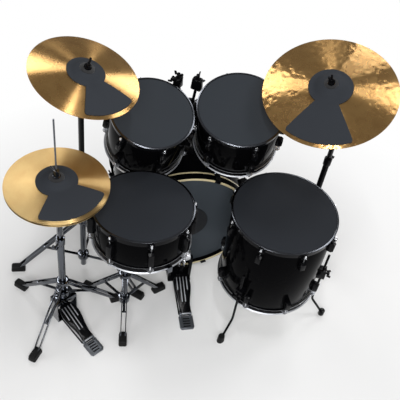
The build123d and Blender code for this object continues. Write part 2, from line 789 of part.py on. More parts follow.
def tom_holder(bass_body, toms):
    """Post on the bass shell with two swivelling arms that reach into the tom mounts."""
    crown = BASS_CROWN
    bore = POST_R + SLIDE_PLAY
    plate_low = crown - HOLDER_PLATE_TALL
    plate = Pos(BASS_X, TOM_POST_Y, plate_low + HOLDER_PLATE_TALL) * Box(
        HOLDER_PLATE_WIDE, HOLDER_PLATE_LONG, 2 * HOLDER_PLATE_TALL
    )
    sleeve = upright(BASS_X, TOM_POST_Y, crown, crown + SLEEVE_TALL, bore + SLEEVE_WALL)
    hole = upright(BASS_X, TOM_POST_Y, crown, crown + SLEEVE_TALL, bore)
    keep("tom_holder_base", plate - bass_body + sleeve - hole)
    post = upright(BASS_X, TOM_POST_Y, crown, POST_TOP_Z, POST_R)
    cap = upright(BASS_X, TOM_POST_Y, POST_TOP_Z, POST_TOP_Z + POST_CAP_TALL, bore + ARM_COLLAR_WALL)
    rest_low = LEFT_ARM_Z - ARM_COLLAR_TALL / 2
    rest = upright(BASS_X, TOM_POST_Y, rest_low - POST_CAP_TALL, rest_low, bore + ARM_COLLAR_WALL)
    keep("tom_holder_post", post + cap + rest)
    mounts = {}
    for tom, z, turn, out, rise in toms:
        up = tom.place.z_dir
        rim = tom.place.origin
        middle = rim - up * ((rim.Z - z) / up.Z)
        centre = Vector(BASS_X, TOM_POST_Y, z)
        reach = (middle - centre).normalized()
        collar = upright(
            BASS_X, TOM_POST_Y, z - ARM_COLLAR_TALL / 2, z + ARM_COLLAR_TALL / 2, bore + ARM_COLLAR_WALL, bore
        )
        lean = sqrt(1 - reach.dot(up) ** 2)
        skin = (middle - centre).length - tom.radius / lean
        block = Plane(origin=centre + reach * skin, z_dir=reach) * Box(
            TOM_MOUNT_WIDE, TOM_MOUNT_TALL, 2 * TOM_MOUNT_REACH
        )
        end = centre + reach * (skin - TOM_MOUNT_REACH + ARM_DEPTH_IN_MOUNT)
        arm = rod(centre + reach * (bore + ARM_COLLAR_WALL / 2), end, ARM_R)
        way = Vector(cos(radians(turn)), sin(radians(turn)), 0)
        top = centre + way * out + Vector(0, 0, rise)
        root = centre + way * STALK_ROOT
        stalk = rod(centre + way * (bore + ARM_COLLAR_WALL / 2), root, STALK_R) + rod(root, top, STALK_R)
        head = Pos(*top) * Rot(0, 0, turn) * Box(STALK_HEAD_DEEP, STALK_HEAD_WIDE, STALK_HEAD_TALL)
        keep(f"{tom.name}_arm", collar + arm + stalk + head)
        mounts[tom.name] = block - tom.place * tom.body() - rod(centre, end, ARM_R + SLIDE_PLAY)
    return mounts


def floor_tom_legs(tom):
    """Three bent legs that slide in brackets on the floor tom's shell."""
    x, y, rim_z = FLOOR_TOM_RIM
    out_r = tom.radius + LEG_OUT
    brackets = []
    for name, angle in LEG_ANGLES.items():
        way = radians(angle)
        out = Vector(cos(way), sin(way), 0)
        axis = Vector(x, y, 0) + out * out_r
        outer = LEG_R + LEG_BRACKET_WALL
        block = Pos(axis.X, axis.Y, LEG_BRACKET_Z) * Rot(0, 0, angle) * Box(
            2 * (LEG_OUT + LEG_BRACKET_WALL), LEG_BRACKET_WIDE, LEG_BRACKET_TALL
        )
        trim = Vector(x, y, 0) + out * (out_r + outer + LEG_OUT + LEG_BRACKET_WALL)
        front = Pos(trim.X, trim.Y, LEG_BRACKET_Z) * Rot(0, 0, angle) * Box(
            2 * (LEG_OUT + LEG_BRACKET_WALL), LEG_BRACKET_WIDE, LEG_BRACKET_TALL
        )
        low = LEG_BRACKET_Z - LEG_BRACKET_TALL / 2
        bore = upright(axis.X, axis.Y, low, low + LEG_BRACKET_TALL, LEG_R + SLIDE_PLAY)
        brackets.append(block - front - tom.place * tom.body() - bore)
        knee = axis + Vector(0, 0, LEG_KNEE_Z)
        foot = Vector(x, y, LEG_SHOE_TALL / 2) + out * LEG_FOOT_R
        path = FilletPolyline(axis + Vector(0, 0, LEG_TOP_Z), knee, foot, radius=LEG_BEND_R)
        section = Plane(origin=path @ 0, z_dir=path % 0) * Circle(LEG_R)
        shoe = Pos(foot.X, foot.Y, LEG_SHOE_TALL / 2) * Cylinder(LEG_SHOE_R, LEG_SHOE_TALL)
        keep(f"floor_tom_leg_{name}", sweep(section, path) - shoe, shoe)
    return brackets


def snare_strainer(drum):
    """Throw-off housing, butt plate, lever and the wires under the snare-side head."""
    top = -(drum.height - STRAINER_TALL) / 2
    face = drum.radius + STRAINER_OUT
    block = Pos(drum.radius, 0, top - STRAINER_TALL / 2) * Box(2 * STRAINER_OUT, STRAINER_WIDE, STRAINER_TALL)
    pin_z = top - STRAINER_TALL + LEVER_EYE_R
    pin_x = face + LEVER_EYE_R + LEVER_PLAY
    gap = LEVER_WIDE / 2 + LEVER_PLAY
    cheek = (STRAINER_WIDE / 2 - gap) / 2
    housing = block - drum.body()
    for side in (-1, 1):
        ear = Pos(face + LEVER_EYE_R, side * (gap + cheek), pin_z) * Box(
            2 * LEVER_EYE_R, 2 * cheek, 2 * LEVER_EYE_R
        )
        housing = housing + ear
    pin = rod((pin_x, -gap - cheek, pin_z), (pin_x, gap + cheek, pin_z), LEVER_PIN_R)
    butt = Rot(0, 0, 180) * (block - drum.body())
    turn = Rot(0, 0, STRAINER_ANGLE)
    fittings = [drum.place * turn * (housing + pin), drum.place * turn * butt]
    eye = rod((pin_x, -LEVER_WIDE / 2, pin_z), (pin_x, LEVER_WIDE / 2, pin_z), LEVER_EYE_R)
    blade = Pos(face + LEVER_PLAY + LEVER_THICK / 2, 0, pin_z + LEVER_LONG / 2) * Box(
        LEVER_THICK, LEVER_WIDE, LEVER_LONG
    )
    hole = rod((pin_x, -LEVER_WIDE, pin_z), (pin_x, LEVER_WIDE, pin_z), LEVER_PIN_R + SLIDE_PLAY)
    keep("snare_throw_off_lever", drum.place * turn * (eye + blade - hole))
    skin_z = -drum.height + RIM_TO_HEAD
    wires = []
    for index in range(WIRE_COUNT):
        offset = (index - (WIRE_COUNT - 1) / 2) * WIRE_PITCH
        wires.append(Pos(0, offset, skin_z - WIRE_SIZE / 2) * Box(WIRE_LONG, WIRE_SIZE, WIRE_SIZE))
    wide = WIRE_COUNT * WIRE_PITCH
    for side in (-1, 1):
        clip_x = side * (WIRE_LONG + WIRE_CLIP_LONG) / 2
        wires.append(Pos(clip_x, 0, skin_z - WIRE_SIZE / 2) * Box(WIRE_CLIP_LONG, wide, WIRE_SIZE))
    keep("snare_wires", drum.place * turn * (wires[0] + wires[1:]))
    return fittings


def snare_stand(drum):
    """Tripod base, sliding tube and tilting basket that carries the snare drum."""
    place = drum.place
    hub_z = -drum.height - BASKET_DROP
    hub = Plane(place.location * Pos(0, 0, hub_z))
    x = SNARE_STAND_X
    y = SNARE_STAND_Y
    bore = TUBE_R - TUBE_WALL
    tube = upright(x, y, 2 * LEG_LOW, SNARE_TUBE_TOP, TUBE_R, bore)
    legs = tripod(x, y, SNARE_LEG_TURNS, SNARE_STAND_SPREAD, SNARE_STAND_LOW, SNARE_STAND_HIGH, TUBE_R)
    inner_r = bore - SLIDE_PLAY
    keep("snare_stand_base", tube, legs, clamp(x, y, SNARE_TUBE_TOP, bore, SNARE_LEG_TURNS[0]))
    half = BASKET_EYE_WIDE / 2
    pivot = Vector(x, y, hub.origin.Z - BASKET_PIVOT_DROP)
    near = pivot - Vector(half, 0, 0)
    seam = pivot + Vector(half, 0, 0)
    far = seam + Vector(BASKET_EYE_WIDE, 0, 0)
    inner = upright(x, y, SNARE_INNER_FOOT, pivot.Z, inner_r) - upright(
        x, y, SNARE_INNER_FOOT, pivot.Z - BASKET_EYE_R, inner_r - INNER_TUBE_WALL
    )
    pin = rod(near, far, BASKET_PIN_R)
    keep("snare_stand_tube", inner + rod(near, seam, BASKET_EYE_R) + pin)
    eye = rod(seam, far, BASKET_EYE_R)
    stem = rod((seam + far) * 0.5, hub.origin, BASKET_STEM_R)
    boss = hub * Cylinder(BASKET_HUB_R, BASKET_HUB_TALL)
    basket = eye + stem + boss - rod(near, far, BASKET_PIN_R + SLIDE_PLAY)
    tips = []
    rest = -drum.height
    for index in range(3):
        turn = Rot(0, 0, CRADLE_START + 120 * index)
        hip = Vector(0, 0, hub_z)
        knee = Vector(drum.radius, 0, rest - CRADLE_THICK / 2)
        out = drum.wall_out + RIM_FLARE + CLAW_PLAY
        arm = rod(hip, knee, BASKET_ARM_R)
        cradle = Pos(out + CRADLE_THICK - CRADLE_LONG / 2, 0, rest - CRADLE_THICK / 2) * Box(
            CRADLE_LONG, CRADLE_THICK * 2, CRADLE_THICK
        )
        lip = Pos(out + CRADLE_THICK / 2, 0, rest + CRADLE_LIP / 2) * Box(
            CRADLE_THICK, CRADLE_THICK * 2, CRADLE_LIP
        )
        tips += [place * turn * (arm - cradle) - boss - stem, place * turn * (cradle + lip)]
    keep("snare_basket", basket, tips)


def footboard(place, toe_piece):
    """Hinged footboard with raised ribs; the frame's origin is the middle of the hinge pin."""
    slope = place * Rot(BOARD_RISE, 0, 0)
    right = Spline(
        (BOARD_HEEL_HALF, BOARD_GAP),
        (BOARD_WAIST_HALF, BOARD_LONG / 3),
        (BOARD_WIDE_HALF, BOARD_LONG * 3 / 4),
        (BOARD_TOE_HALF, BOARD_LONG),
    )
    left = mirror(right, Plane.YZ)
    ends = [Line(right @ 0, left @ 0), Line(right @ 1, left @ 1)]
    deck = extrude(make_face(Curve() + [right, left] + ends), BOARD_THICK, dir=(0, 0, 1))
    start = BOARD_LONG - RIB_LONG - 2 * BOARD_GAP
    for x, long in ((-RIB_OUT, RIB_SHORT), (-RIB_IN, RIB_LONG), (RIB_IN, RIB_LONG), (RIB_OUT, RIB_SHORT)):
        y = start + RIB_LONG - long / 2
        deck = deck + Pos(x, y, BOARD_THICK + RIB_TALL / 2) * Box(RIB_WIDE, long, RIB_TALL)
    eye = rod((-HINGE_HALF, 0, 0), (HINGE_HALF, 0, 0), HINGE_EYE_R)
    tongue = Pos(0, BOARD_GAP, BOARD_THICK / 2) * Box(2 * HINGE_HALF, 2 * BOARD_GAP, BOARD_THICK)
    hole = rod((-BOARD_LONG, 0, 0), (BOARD_LONG, 0, 0), HINGE_PIN_R + HINGE_PLAY)
    board = deck + eye + tongue - hole
    board = slope * board
    return [board] + [piece - board for piece in toe_piece]


def heel_plate(place):
    """Heel plate on the floor with slots, hinge ears and the hinge pin."""
    back = -HEEL_EAR_WIDE - HEEL_LONG
    outline = Polygon(
        (HEEL_HALF, -HEEL_EAR_WIDE),
        (HEEL_HALF, back + HEEL_EAR_WIDE),
        (HEEL_END_HALF, back),
        (-HEEL_END_HALF, back),
        (-HEEL_HALF, back + HEEL_EAR_WIDE),
        (-HEEL_HALF, -HEEL_EAR_WIDE),
        align=None,
    )
    plate = extrude(Plane.XY.offset(-HINGE_Z) * outline, HEEL_THICK, dir=(0, 0, 1))
    for index in range(HEEL_SLOTS):
        y = back + HEEL_LONG * (index + 1) / (HEEL_SLOTS + 1)
        z = -HINGE_Z + HEEL_THICK
        plate = plate - Pos(0, y, z) * Box(HEEL_HALF, HEEL_SLOT_WIDE, 2 * HEEL_SLOT_DEEP)
    for side in (-1, 1):
        x = side * (HINGE_HALF + CLAW_PLAY + HEEL_EAR_WIDE / 2)
        foot = Pos(x, -HEEL_EAR_WIDE / 2, -HINGE_Z / 2) * Box(HEEL_EAR_WIDE, HEEL_EAR_WIDE * 2, HINGE_Z)
        plate = plate + foot + rod((x - HEEL_EAR_WIDE / 2, 0, 0), (x + HEEL_EAR_WIDE / 2, 0, 0), HINGE_EYE_R)
    reach = HINGE_HALF + CLAW_PLAY + HEEL_EAR_WIDE
    pin = rod((-reach, 0, 0), (reach, 0, 0), HINGE_PIN_R)
    return place * (plate + pin)


def rails(place, far):
    """Two rods on the floor that tie the heel plate to the pedal's frame."""
    z = RAIL_R - HINGE_Z
    near = HEEL_EAR_WIDE / 2
    return [place * rod((x, near, z), (x, far, z), RAIL_R) for x in (-RAIL_X, RAIL_X)]


def toe_height():
    """Height of the footboard's upper face above the hinge pin where the toe is pulled."""
    rise = radians(BOARD_RISE)
    return TOE_PULL * sin(rise) / cos(rise) + BOARD_THICK / cos(rise)


def bass_pedal():
    """Single bass drum pedal: heel plate, footboard, frame with sprung posts, axle and felt beater."""
    place = Plane(origin=(BASS_PEDAL_X, BASS_PEDAL_HINGE_Y, HINGE_Z))
    hoop_front = BASS_FACE_Y - BASS_PEDAL_HINGE_Y
    plate_back = PEDAL_AXLE_Y - PEDAL_POST_DEEP
    plate_front = hoop_front + BASS_HOOP_WIDE / 3
    floor = -HINGE_Z
    deck = Pos(0, (plate_back + plate_front) / 2, floor + PEDAL_PLATE_THICK / 2) * Box(
        2 * PEDAL_POST_X + PEDAL_POST_WIDE, plate_front - plate_back, PEDAL_PLATE_THICK
    )
    frame = [deck]
    axle_z = PEDAL_AXLE_Z + floor
    bore_r = PEDAL_AXLE_R + HINGE_PLAY
    bore = rod((-BOARD_LONG, PEDAL_AXLE_Y, axle_z), (BOARD_LONG, PEDAL_AXLE_Y, axle_z), bore_r)
    for side in (-1, 1):
        tall = PEDAL_POST_TOP - PEDAL_PLATE_THICK
        post = Pos(side * PEDAL_POST_X, PEDAL_AXLE_Y, floor + PEDAL_PLATE_THICK + tall / 2) * Box(
            PEDAL_POST_WIDE, PEDAL_POST_DEEP, tall
        )
        frame.append(post - bore)
    jaw_low = PEDAL_PLATE_THICK + BASS_HOOP_THICK + CLAMP_GAP + floor
    jaw_deep = BASS_HOOP_WIDE / 4
    column_y = hoop_front - CLAMP_GAP - jaw_deep / 2
    column_tall = jaw_low + CLAMP_JAW_TALL - floor - PEDAL_PLATE_THICK
    column = Pos(0, column_y, floor + PEDAL_PLATE_THICK + column_tall / 2) * Box(
        CLAMP_JAW_WIDE, jaw_deep, column_tall
    )
    jaw = Pos(0, hoop_front, jaw_low + CLAMP_JAW_TALL / 2) * Box(CLAMP_JAW_WIDE, 2 * jaw_deep, CLAMP_JAW_TALL)
    frame.append(column + jaw)
    keep("bass_pedal_frame", [place * piece for piece in frame], heel_plate(place), rails(place, plate_back))
    strap_low = toe_height() - BOARD_THICK / 2
    strap_y = PEDAL_AXLE_Y - PEDAL_CAM_R - STRAP_THICK / 2 - STRAP_GAP
    strap = Pos(0, strap_y, (strap_low + axle_z) / 2) * Box(STRAP_WIDE, STRAP_THICK, axle_z - strap_low)
    keep("bass_pedal_footboard", footboard(place, [place * strap]))
    inner = PEDAL_POST_X + PEDAL_POST_WIDE / 2
    axle = rod((-inner, PEDAL_AXLE_Y, axle_z), (inner, PEDAL_AXLE_Y, axle_z), PEDAL_AXLE_R)
    half = PEDAL_CAM_GAP / 2
    edge = half + PEDAL_CHEEK_THICK
    hub = rod((-edge, PEDAL_AXLE_Y, axle_z), (edge, PEDAL_AXLE_Y, axle_z), PEDAL_HUB_R)
    cheeks = [
        rod((half, PEDAL_AXLE_Y, axle_z), (edge, PEDAL_AXLE_Y, axle_z), PEDAL_CAM_R),
        rod((-half, PEDAL_AXLE_Y, axle_z), (-edge, PEDAL_AXLE_Y, axle_z), PEDAL_CAM_R),
    ]
    back = radians(BEATER_BACK)
    root = Vector(0, PEDAL_AXLE_Y, axle_z)
    head = root + Vector(0, -sin(back), cos(back)) * BEATER_LONG
    shaft = rod(root, head, BEATER_SHAFT_R)
    across = Vector(BEATER_CORE_WIDE / 2, 0, 0)
    core = rod(head - across, head + across, BEATER_CORE_R)
    span = Vector(BEATER_WIDE / 2, 0, 0)
    metal = axle + hub + cheeks + shaft + core
    felt = rod(head - span, head + span, BEATER_R) - metal
    keep("bass_pedal_beater", place * metal, place * felt)


def hihat():
    """Hi-hat stand with its pedal, pull rod, clutch and pair of cymbals."""
    x, y, rim_z = HIHAT_RIM
    bore = HIHAT_TUBE_R - TUBE_WALL
    foot = HIHAT_BRIDGE_Z + HIHAT_BRIDGE_TALL
    tube = upright(x, y, foot, HIHAT_TUBE_TOP, HIHAT_TUBE_R, bore)
    legs = tripod(x, y, HIHAT_LEG_TURNS, HIHAT_SPREAD, HIHAT_LOW, HIHAT_HIGH, HIHAT_TUBE_R)
    turn = Plane(origin=(x, y, 0)) * Rot(0, 0, HIHAT_PEDAL_TURN)
    place = Plane(turn * Pos(0, -TOE_PULL, HINGE_Z))
    bridge = Pos(0, 0, HIHAT_BRIDGE_Z + HIHAT_BRIDGE_TALL / 2) * Box(
        2 * HIHAT_SIDE_X, HIHAT_SIDE_DEEP, HIHAT_BRIDGE_TALL
    )
    bridge = bridge - upright(0, 0, HIHAT_BRIDGE_Z, foot, HIHAT_ROD_R + HIHAT_BORE_PLAY)
    floor = Pos(0, 0, HIHAT_BASE_THICK / 2) * Box(2 * HIHAT_SIDE_X, HIHAT_SIDE_DEEP, HIHAT_BASE_THICK)
    sides = []
    for hand in (-1, 1):
        side_x = hand * (HIHAT_SIDE_X - HIHAT_SIDE_THICK / 2)
        tall = HIHAT_BRIDGE_Z - HIHAT_BASE_THICK
        plate = Box(HIHAT_SIDE_THICK, HIHAT_SIDE_DEEP, tall)
        sides.append(Pos(side_x, 0, HIHAT_BASE_THICK + tall / 2) * plate)
    casting = [turn * piece for piece in [bridge, floor] + sides]
    far = TOE_PULL - HIHAT_SIDE_DEEP / 2
    keep(
        "hihat_stand_base",
        tube,
        legs,
        clamp(x, y, HIHAT_TUBE_TOP, bore, HIHAT_LEG_TURNS[0]),
        casting,
        heel_plate(place),
        rails(place, far),
    )
    keep("hihat_footboard", footboard(place, []))
    cymbal = Cymbal(HIHAT_R, HIHAT_RISE, HIHAT_BELL_R, HIHAT_BELL_RISE)
    low_rim = rim_z - HIHAT_GAP
    seat_z = low_rim - cymbal.top - CYMBAL_THICK
    rod_bore = HIHAT_ROD_R + HIHAT_BORE_PLAY
    inner_r = bore - SLIDE_PLAY
    seat_low = seat_z - HIHAT_SEAT_THICK
    inner = turned(
        [
            (rod_bore, HIHAT_INNER_FOOT),
            (inner_r, HIHAT_INNER_FOOT),
            (inner_r, seat_low),
            (HIHAT_SEAT_R, seat_low),
            (HIHAT_SEAT_R, seat_z),
            (rod_bore, seat_z),
        ]
    )
    keep("hihat_upper_tube", Pos(x, y, 0) * inner)
    keep("hihat_bottom_cymbal", Pos(x, y, low_rim) * Rot(180, 0, 0) * cymbal.disc())
    keep("hihat_top_cymbal", Pos(x, y, rim_z) * cymbal.disc())
    keep("hihat_mute_pad", Pos(x, y, rim_z) * cymbal.skin(HIHAT_HUB_R, HIHAT_WEDGE, 0.0))
    rod_low = toe_height() + HINGE_Z + STRAP_GAP
    under = rim_z + cymbal.top - FELT_SLOPE
    over = rim_z + cymbal.top + CYMBAL_THICK + STRAP_GAP
    clutch_low = over + CLUTCH_FELT_TALL
    pull = turned(
        [
            (0, rod_low),
            (HIHAT_ROD_R, rod_low),
            (HIHAT_ROD_R, under - CLUTCH_FELT_TALL),
            (CLUTCH_FELT_R, under - CLUTCH_FELT_TALL),
            (CLUTCH_FELT_R, under),
            (CLUTCH_TUBE_R, under),
            (CLUTCH_TUBE_R, over),
            (CLUTCH_FELT_R, over),
            (CLUTCH_FELT_R, clutch_low),
            (CLUTCH_R, clutch_low),
            (CLUTCH_R, clutch_low + CLUTCH_TALL),
            (HIHAT_ROD_R, clutch_low + CLUTCH_TALL),
            (HIHAT_ROD_R, HIHAT_ROD_TOP),
            (0, HIHAT_ROD_TOP),
        ]
    )
    key_z = clutch_low + CLUTCH_TALL / 2
    key = rod((0, CLUTCH_R - WING_R, key_z), (0, CLUTCH_R + WING_LONG, key_z), WING_R)
    strap_top = HIHAT_BRIDGE_Z - HIHAT_LIFT
    strap = Pos(0, 0, (rod_low + strap_top) / 2) * Box(STRAP_WIDE, STRAP_WIDE, strap_top - rod_low)
    keep("hihat_pull_rod", turn * (pull + key + strap))


def cymbal_stem(cymbal, place, drop):
    """Rod, seat, felts and wing nut that hold a cymbal, drawn from the tilter's pivot upwards."""
    under = cymbal.top - FELT_GAP
    felt_low = under - FELT_SLOPE - FELT_TALL
    over = cymbal.top + CYMBAL_THICK + FELT_GAP
    nut_low = over + FELT_TALL
    tip = nut_low + STEM_OVER
    stem = turned(
        [
            (0, -drop),
            (STEM_R, -drop),
            (STEM_R, felt_low),
            (FELT_R, felt_low),
            (FELT_R, under - FELT_SLOPE),
            (FELT_FLAT_R, under),
            (STEM_R, under),
            (STEM_R, over),
            (FELT_R, over),
            (FELT_R, nut_low),
            (STEM_R, nut_low),
            (STEM_R, tip),
            (0, tip),
        ]
    )
    wings = Pos(0, 0, nut_low + NUT_TALL) * Box(2 * NUT_WING, NUT_WING_THICK, NUT_TALL)
    hub = extrude(Plane.XY.offset(nut_low) * RegularPolygon(NUT_R, 6), NUT_TALL)
    return place * (stem + hub + wings)


def keep_cymbal(name, cymbal, place, toward, hub_r, wedge):
    """Write a stand-mounted cymbal and the mute pad that lies on it."""
    keep(f"{name}_cymbal", place * cymbal.disc())
    keep(f"{name}_mute_pad", place * cymbal.skin(hub_r, wedge, toward + QUARTER_TURN))


def crash():
    """Straight crash stand: tripod, sliding tube with a fork, tilter, cymbal and mute pad."""
    place = leaning(CRASH_RIM, CRASH_TILT, CRASH_TOWARD)
    cymbal = Cymbal(CRASH_R, CRASH_RISE, CRASH_BELL_R, CRASH_BELL_RISE)
    pivot = place.origin - place.z_dir * TILTER_DROP
    side = place.x_dir
    bore = TUBE_R - TUBE_WALL
    inner_r = bore - SLIDE_PLAY
    tube = upright(pivot.X, pivot.Y, 2 * LEG_LOW, CRASH_TUBE_TOP, TUBE_R, bore)
    legs = tripod(pivot.X, pivot.Y, CRASH_LEG_TURNS, CRASH_SPREAD, STAND_LOW, CRASH_STAND_HIGH, TUBE_R)
    keep("crash_stand_base", tube, legs, clamp(pivot.X, pivot.Y, CRASH_TUBE_TOP, bore, CRASH_TOWARD))
    tube_top = pivot.Z - FORK_BELOW
    upper = upright(pivot.X, pivot.Y, CRASH_INNER_FOOT, tube_top, inner_r) - upright(
        pivot.X, pivot.Y, CRASH_INNER_FOOT, tube_top - CLAMP_TALL, inner_r - INNER_TUBE_WALL
    )
    half = TILTER_EYE_WIDE / 2
    cheek = half + FORK_PLAY + FORK_THICK / 2
    neck = Plane(origin=(pivot.X, pivot.Y, tube_top), x_dir=side, z_dir=(0, 0, 1))
    upper = upper + neck * Box(2 * cheek + FORK_THICK, FORK_WIDE, FORK_THICK)
    for hand in (-1, 1):
        centre = pivot + side * (hand * cheek)
        low = Vector(centre.X, centre.Y, tube_top)
        high = centre + Vector(0, 0, FORK_WIDE / 2)
        upper = upper + bar(low, high, FORK_THICK, FORK_WIDE, side)
    pin = rod(pivot - side * (cheek + FORK_THICK), pivot + side * (cheek + FORK_THICK), TILTER_PIN_R)
    keep("crash_upper_tube", upper + pin)
    eye = rod(pivot - side * half, pivot + side * half, TILTER_EYE_R)
    hole = rod(pivot - side * FORK_WIDE, pivot + side * FORK_WIDE, TILTER_PIN_R + HINGE_PLAY)
    keep("crash_tilter", cymbal_stem(cymbal, place, TILTER_DROP) + eye - hole)
    keep_cymbal("crash", cymbal, place, CRASH_TOWARD, CRASH_HUB_R, CRASH_WEDGE)


def ride():
    """Boom stand: tripod, sliding tube, boom arm with the cymbal rod, cymbal and mute pad."""
    place = leaning(RIDE_RIM, RIDE_TILT, RIDE_TOWARD)
    cymbal = Cymbal(RIDE_R, RIDE_RISE, RIDE_BELL_R, RIDE_BELL_RISE)
    x = RIDE_STAND_X
    y = RIDE_STAND_Y
    bore = TUBE_R - TUBE_WALL
    inner_r = bore - SLIDE_PLAY
    tube = upright(x, y, 2 * LEG_LOW, RIDE_TUBE_TOP, TUBE_R, bore)
    legs = tripod(x, y, RIDE_LEG_TURNS, RIDE_SPREAD, STAND_LOW, RIDE_STAND_HIGH, TUBE_R)
    keep("ride_stand_base", tube, legs, clamp(x, y, RIDE_TUBE_TOP, bore, RIDE_LEG_TURNS[0]))
    tip = place.origin - place.z_dir * TILTER_DROP
    joint = Vector(x, y, RIDE_BOOM_JOINT_Z)
    flat_run = Vector(tip.X - x, tip.Y - y, 0)
    half = BOOM_EYE_WIDE / 2
    along = flat_run.normalized().rotate(Axis.Z, -degrees(asin(BOOM_EYE_WIDE / flat_run.length)))
    side = Vector(-along.Y, along.X, 0)
    post = upright(x, y, RIDE_INNER_FOOT, RIDE_BOOM_JOINT_Z, inner_r) - upright(
        x, y, RIDE_INNER_FOOT, RIDE_BOOM_JOINT_Z - CLAMP_TALL, inner_r - INNER_TUBE_WALL
    )
    pin = rod(joint, joint + side * (3 * half), TILTER_PIN_R)
    keep("ride_upper_tube", post + rod(joint - side * half, joint + side * half, BOOM_EYE_R) + pin)
    hub = joint + side * (2 * half)
    hole = rod(joint, joint + side * BOOM_TAIL, TILTER_PIN_R + HINGE_PLAY)
    eye = rod(joint + side * half, joint + side * (3 * half), BOOM_EYE_R)
    run = (tip - hub).normalized()
    tail = hub - run * BOOM_TAIL
    boom = eye + rod(tail, tip, BOOM_R) + rod(tail, tail + run * BOOM_CAP_LONG, BOOM_CAP_R)
    knuckle = rod(tip - side * half, tip + side * half, TILTER_EYE_R)
    keep("ride_boom", boom + knuckle + cymbal_stem(cymbal, place, TILTER_DROP) - hole)
    keep_cymbal("ride", cymbal, place, RIDE_TOWARD, RIDE_HUB_R, RIDE_WEDGE)


LEFT_TOM = Drum(
    "left_tom",
    leaning(LEFT_TOM_RIM, LEFT_TOM_TILT, LEFT_TOM_TOWARD),
    LEFT_TOM_R,
    RACK_TOM_DEPTH,
    TOM_LUGS,
    LEFT_TOM_LUG_START,
)
RIGHT_TOM = Drum(
    "right_tom",
    leaning(RIGHT_TOM_RIM, RIGHT_TOM_TILT, RIGHT_TOM_TOWARD),
    RIGHT_TOM_R,
    RACK_TOM_DEPTH,
    TOM_LUGS,
    RIGHT_TOM_LUG_START,
)
FLOOR_TOM_PLACE = leaning(FLOOR_TOM_RIM)
FLOOR_TOM = Drum(
    "floor_tom", FLOOR_TOM_PLACE, FLOOR_TOM_R, FLOOR_TOM_DEPTH, FLOOR_TOM_LUGS, FLOOR_TOM_LUG_START
)
SNARE = Drum(
    "snare",
    leaning(SNARE_RIM, SNARE_TILT, SNARE_TOWARD),
    SNARE_R,
    SNARE_DEPTH,
    SNARE_LUGS,
    SNARE_LUG_START,
    long_lug=True,
)


def build():
    """Write every sub-part of the kit."""
    bass_body = bass_drum()
    left = (LEFT_TOM, LEFT_ARM_Z, LEFT_STALK_TURN, LEFT_STALK_OUT, LEFT_STALK_RISE)
    right = (RIGHT_TOM, RIGHT_ARM_Z, RIGHT_STALK_TURN, RIGHT_STALK_OUT, RIGHT_STALK_RISE)
    mounts = tom_holder(bass_body, (left, right))
    for tom in (LEFT_TOM, RIGHT_TOM):
        tom.keep_common(mounts[tom.name])
    FLOOR_TOM.keep_common(floor_tom_legs(FLOOR_TOM))
    SNARE.keep_common(snare_strainer(SNARE))
    snare_stand(SNARE)
    bass_pedal()
    hihat()
    crash()
    ride()


build()
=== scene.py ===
import json
from collections import namedtuple
from math import atan2, cos, degrees, pi, radians, sin, tau

import bpy
from bpy.props import FloatProperty, FloatVectorProperty, PointerProperty
from mathutils import Matrix, Vector

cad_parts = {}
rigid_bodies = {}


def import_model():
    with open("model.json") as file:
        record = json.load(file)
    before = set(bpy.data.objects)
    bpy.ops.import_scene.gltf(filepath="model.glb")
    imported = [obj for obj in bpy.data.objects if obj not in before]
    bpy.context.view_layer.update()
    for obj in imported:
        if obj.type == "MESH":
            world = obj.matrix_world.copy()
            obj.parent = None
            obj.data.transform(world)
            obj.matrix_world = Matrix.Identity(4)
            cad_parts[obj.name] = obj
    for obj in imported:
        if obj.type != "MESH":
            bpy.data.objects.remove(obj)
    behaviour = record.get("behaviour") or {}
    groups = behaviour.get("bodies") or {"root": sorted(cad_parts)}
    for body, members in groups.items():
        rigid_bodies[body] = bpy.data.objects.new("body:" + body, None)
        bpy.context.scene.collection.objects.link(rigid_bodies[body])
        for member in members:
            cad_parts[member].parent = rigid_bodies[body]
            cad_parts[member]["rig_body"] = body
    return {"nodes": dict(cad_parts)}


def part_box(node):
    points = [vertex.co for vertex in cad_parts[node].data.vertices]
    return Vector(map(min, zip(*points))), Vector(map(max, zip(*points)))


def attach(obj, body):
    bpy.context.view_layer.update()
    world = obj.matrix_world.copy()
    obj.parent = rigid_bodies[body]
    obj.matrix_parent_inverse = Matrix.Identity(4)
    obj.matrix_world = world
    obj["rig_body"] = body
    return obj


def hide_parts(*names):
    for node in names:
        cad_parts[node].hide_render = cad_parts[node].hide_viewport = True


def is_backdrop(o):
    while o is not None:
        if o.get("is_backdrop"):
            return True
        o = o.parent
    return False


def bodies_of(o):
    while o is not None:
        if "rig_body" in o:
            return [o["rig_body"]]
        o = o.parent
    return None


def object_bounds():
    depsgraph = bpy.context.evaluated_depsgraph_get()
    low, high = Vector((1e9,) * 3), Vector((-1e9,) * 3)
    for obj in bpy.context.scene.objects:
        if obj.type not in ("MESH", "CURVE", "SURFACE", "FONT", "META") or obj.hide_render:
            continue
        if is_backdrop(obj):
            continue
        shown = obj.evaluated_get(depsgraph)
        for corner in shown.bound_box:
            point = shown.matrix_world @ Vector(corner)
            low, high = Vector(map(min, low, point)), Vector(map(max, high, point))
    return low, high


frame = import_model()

bl_info = {
    "name": "Muted drum kit",
    "version": (1, 0, 0),
    "blender": (4, 5, 0),
    "location": "3D View > Sidebar > Drum kit",
    "description": "Finishes, rounded hardware, mute pads, cymbals and stage of an acoustic drum kit",
    "category": "Object",
}

# Lengths are in metres, and angles in degrees where a table holds them

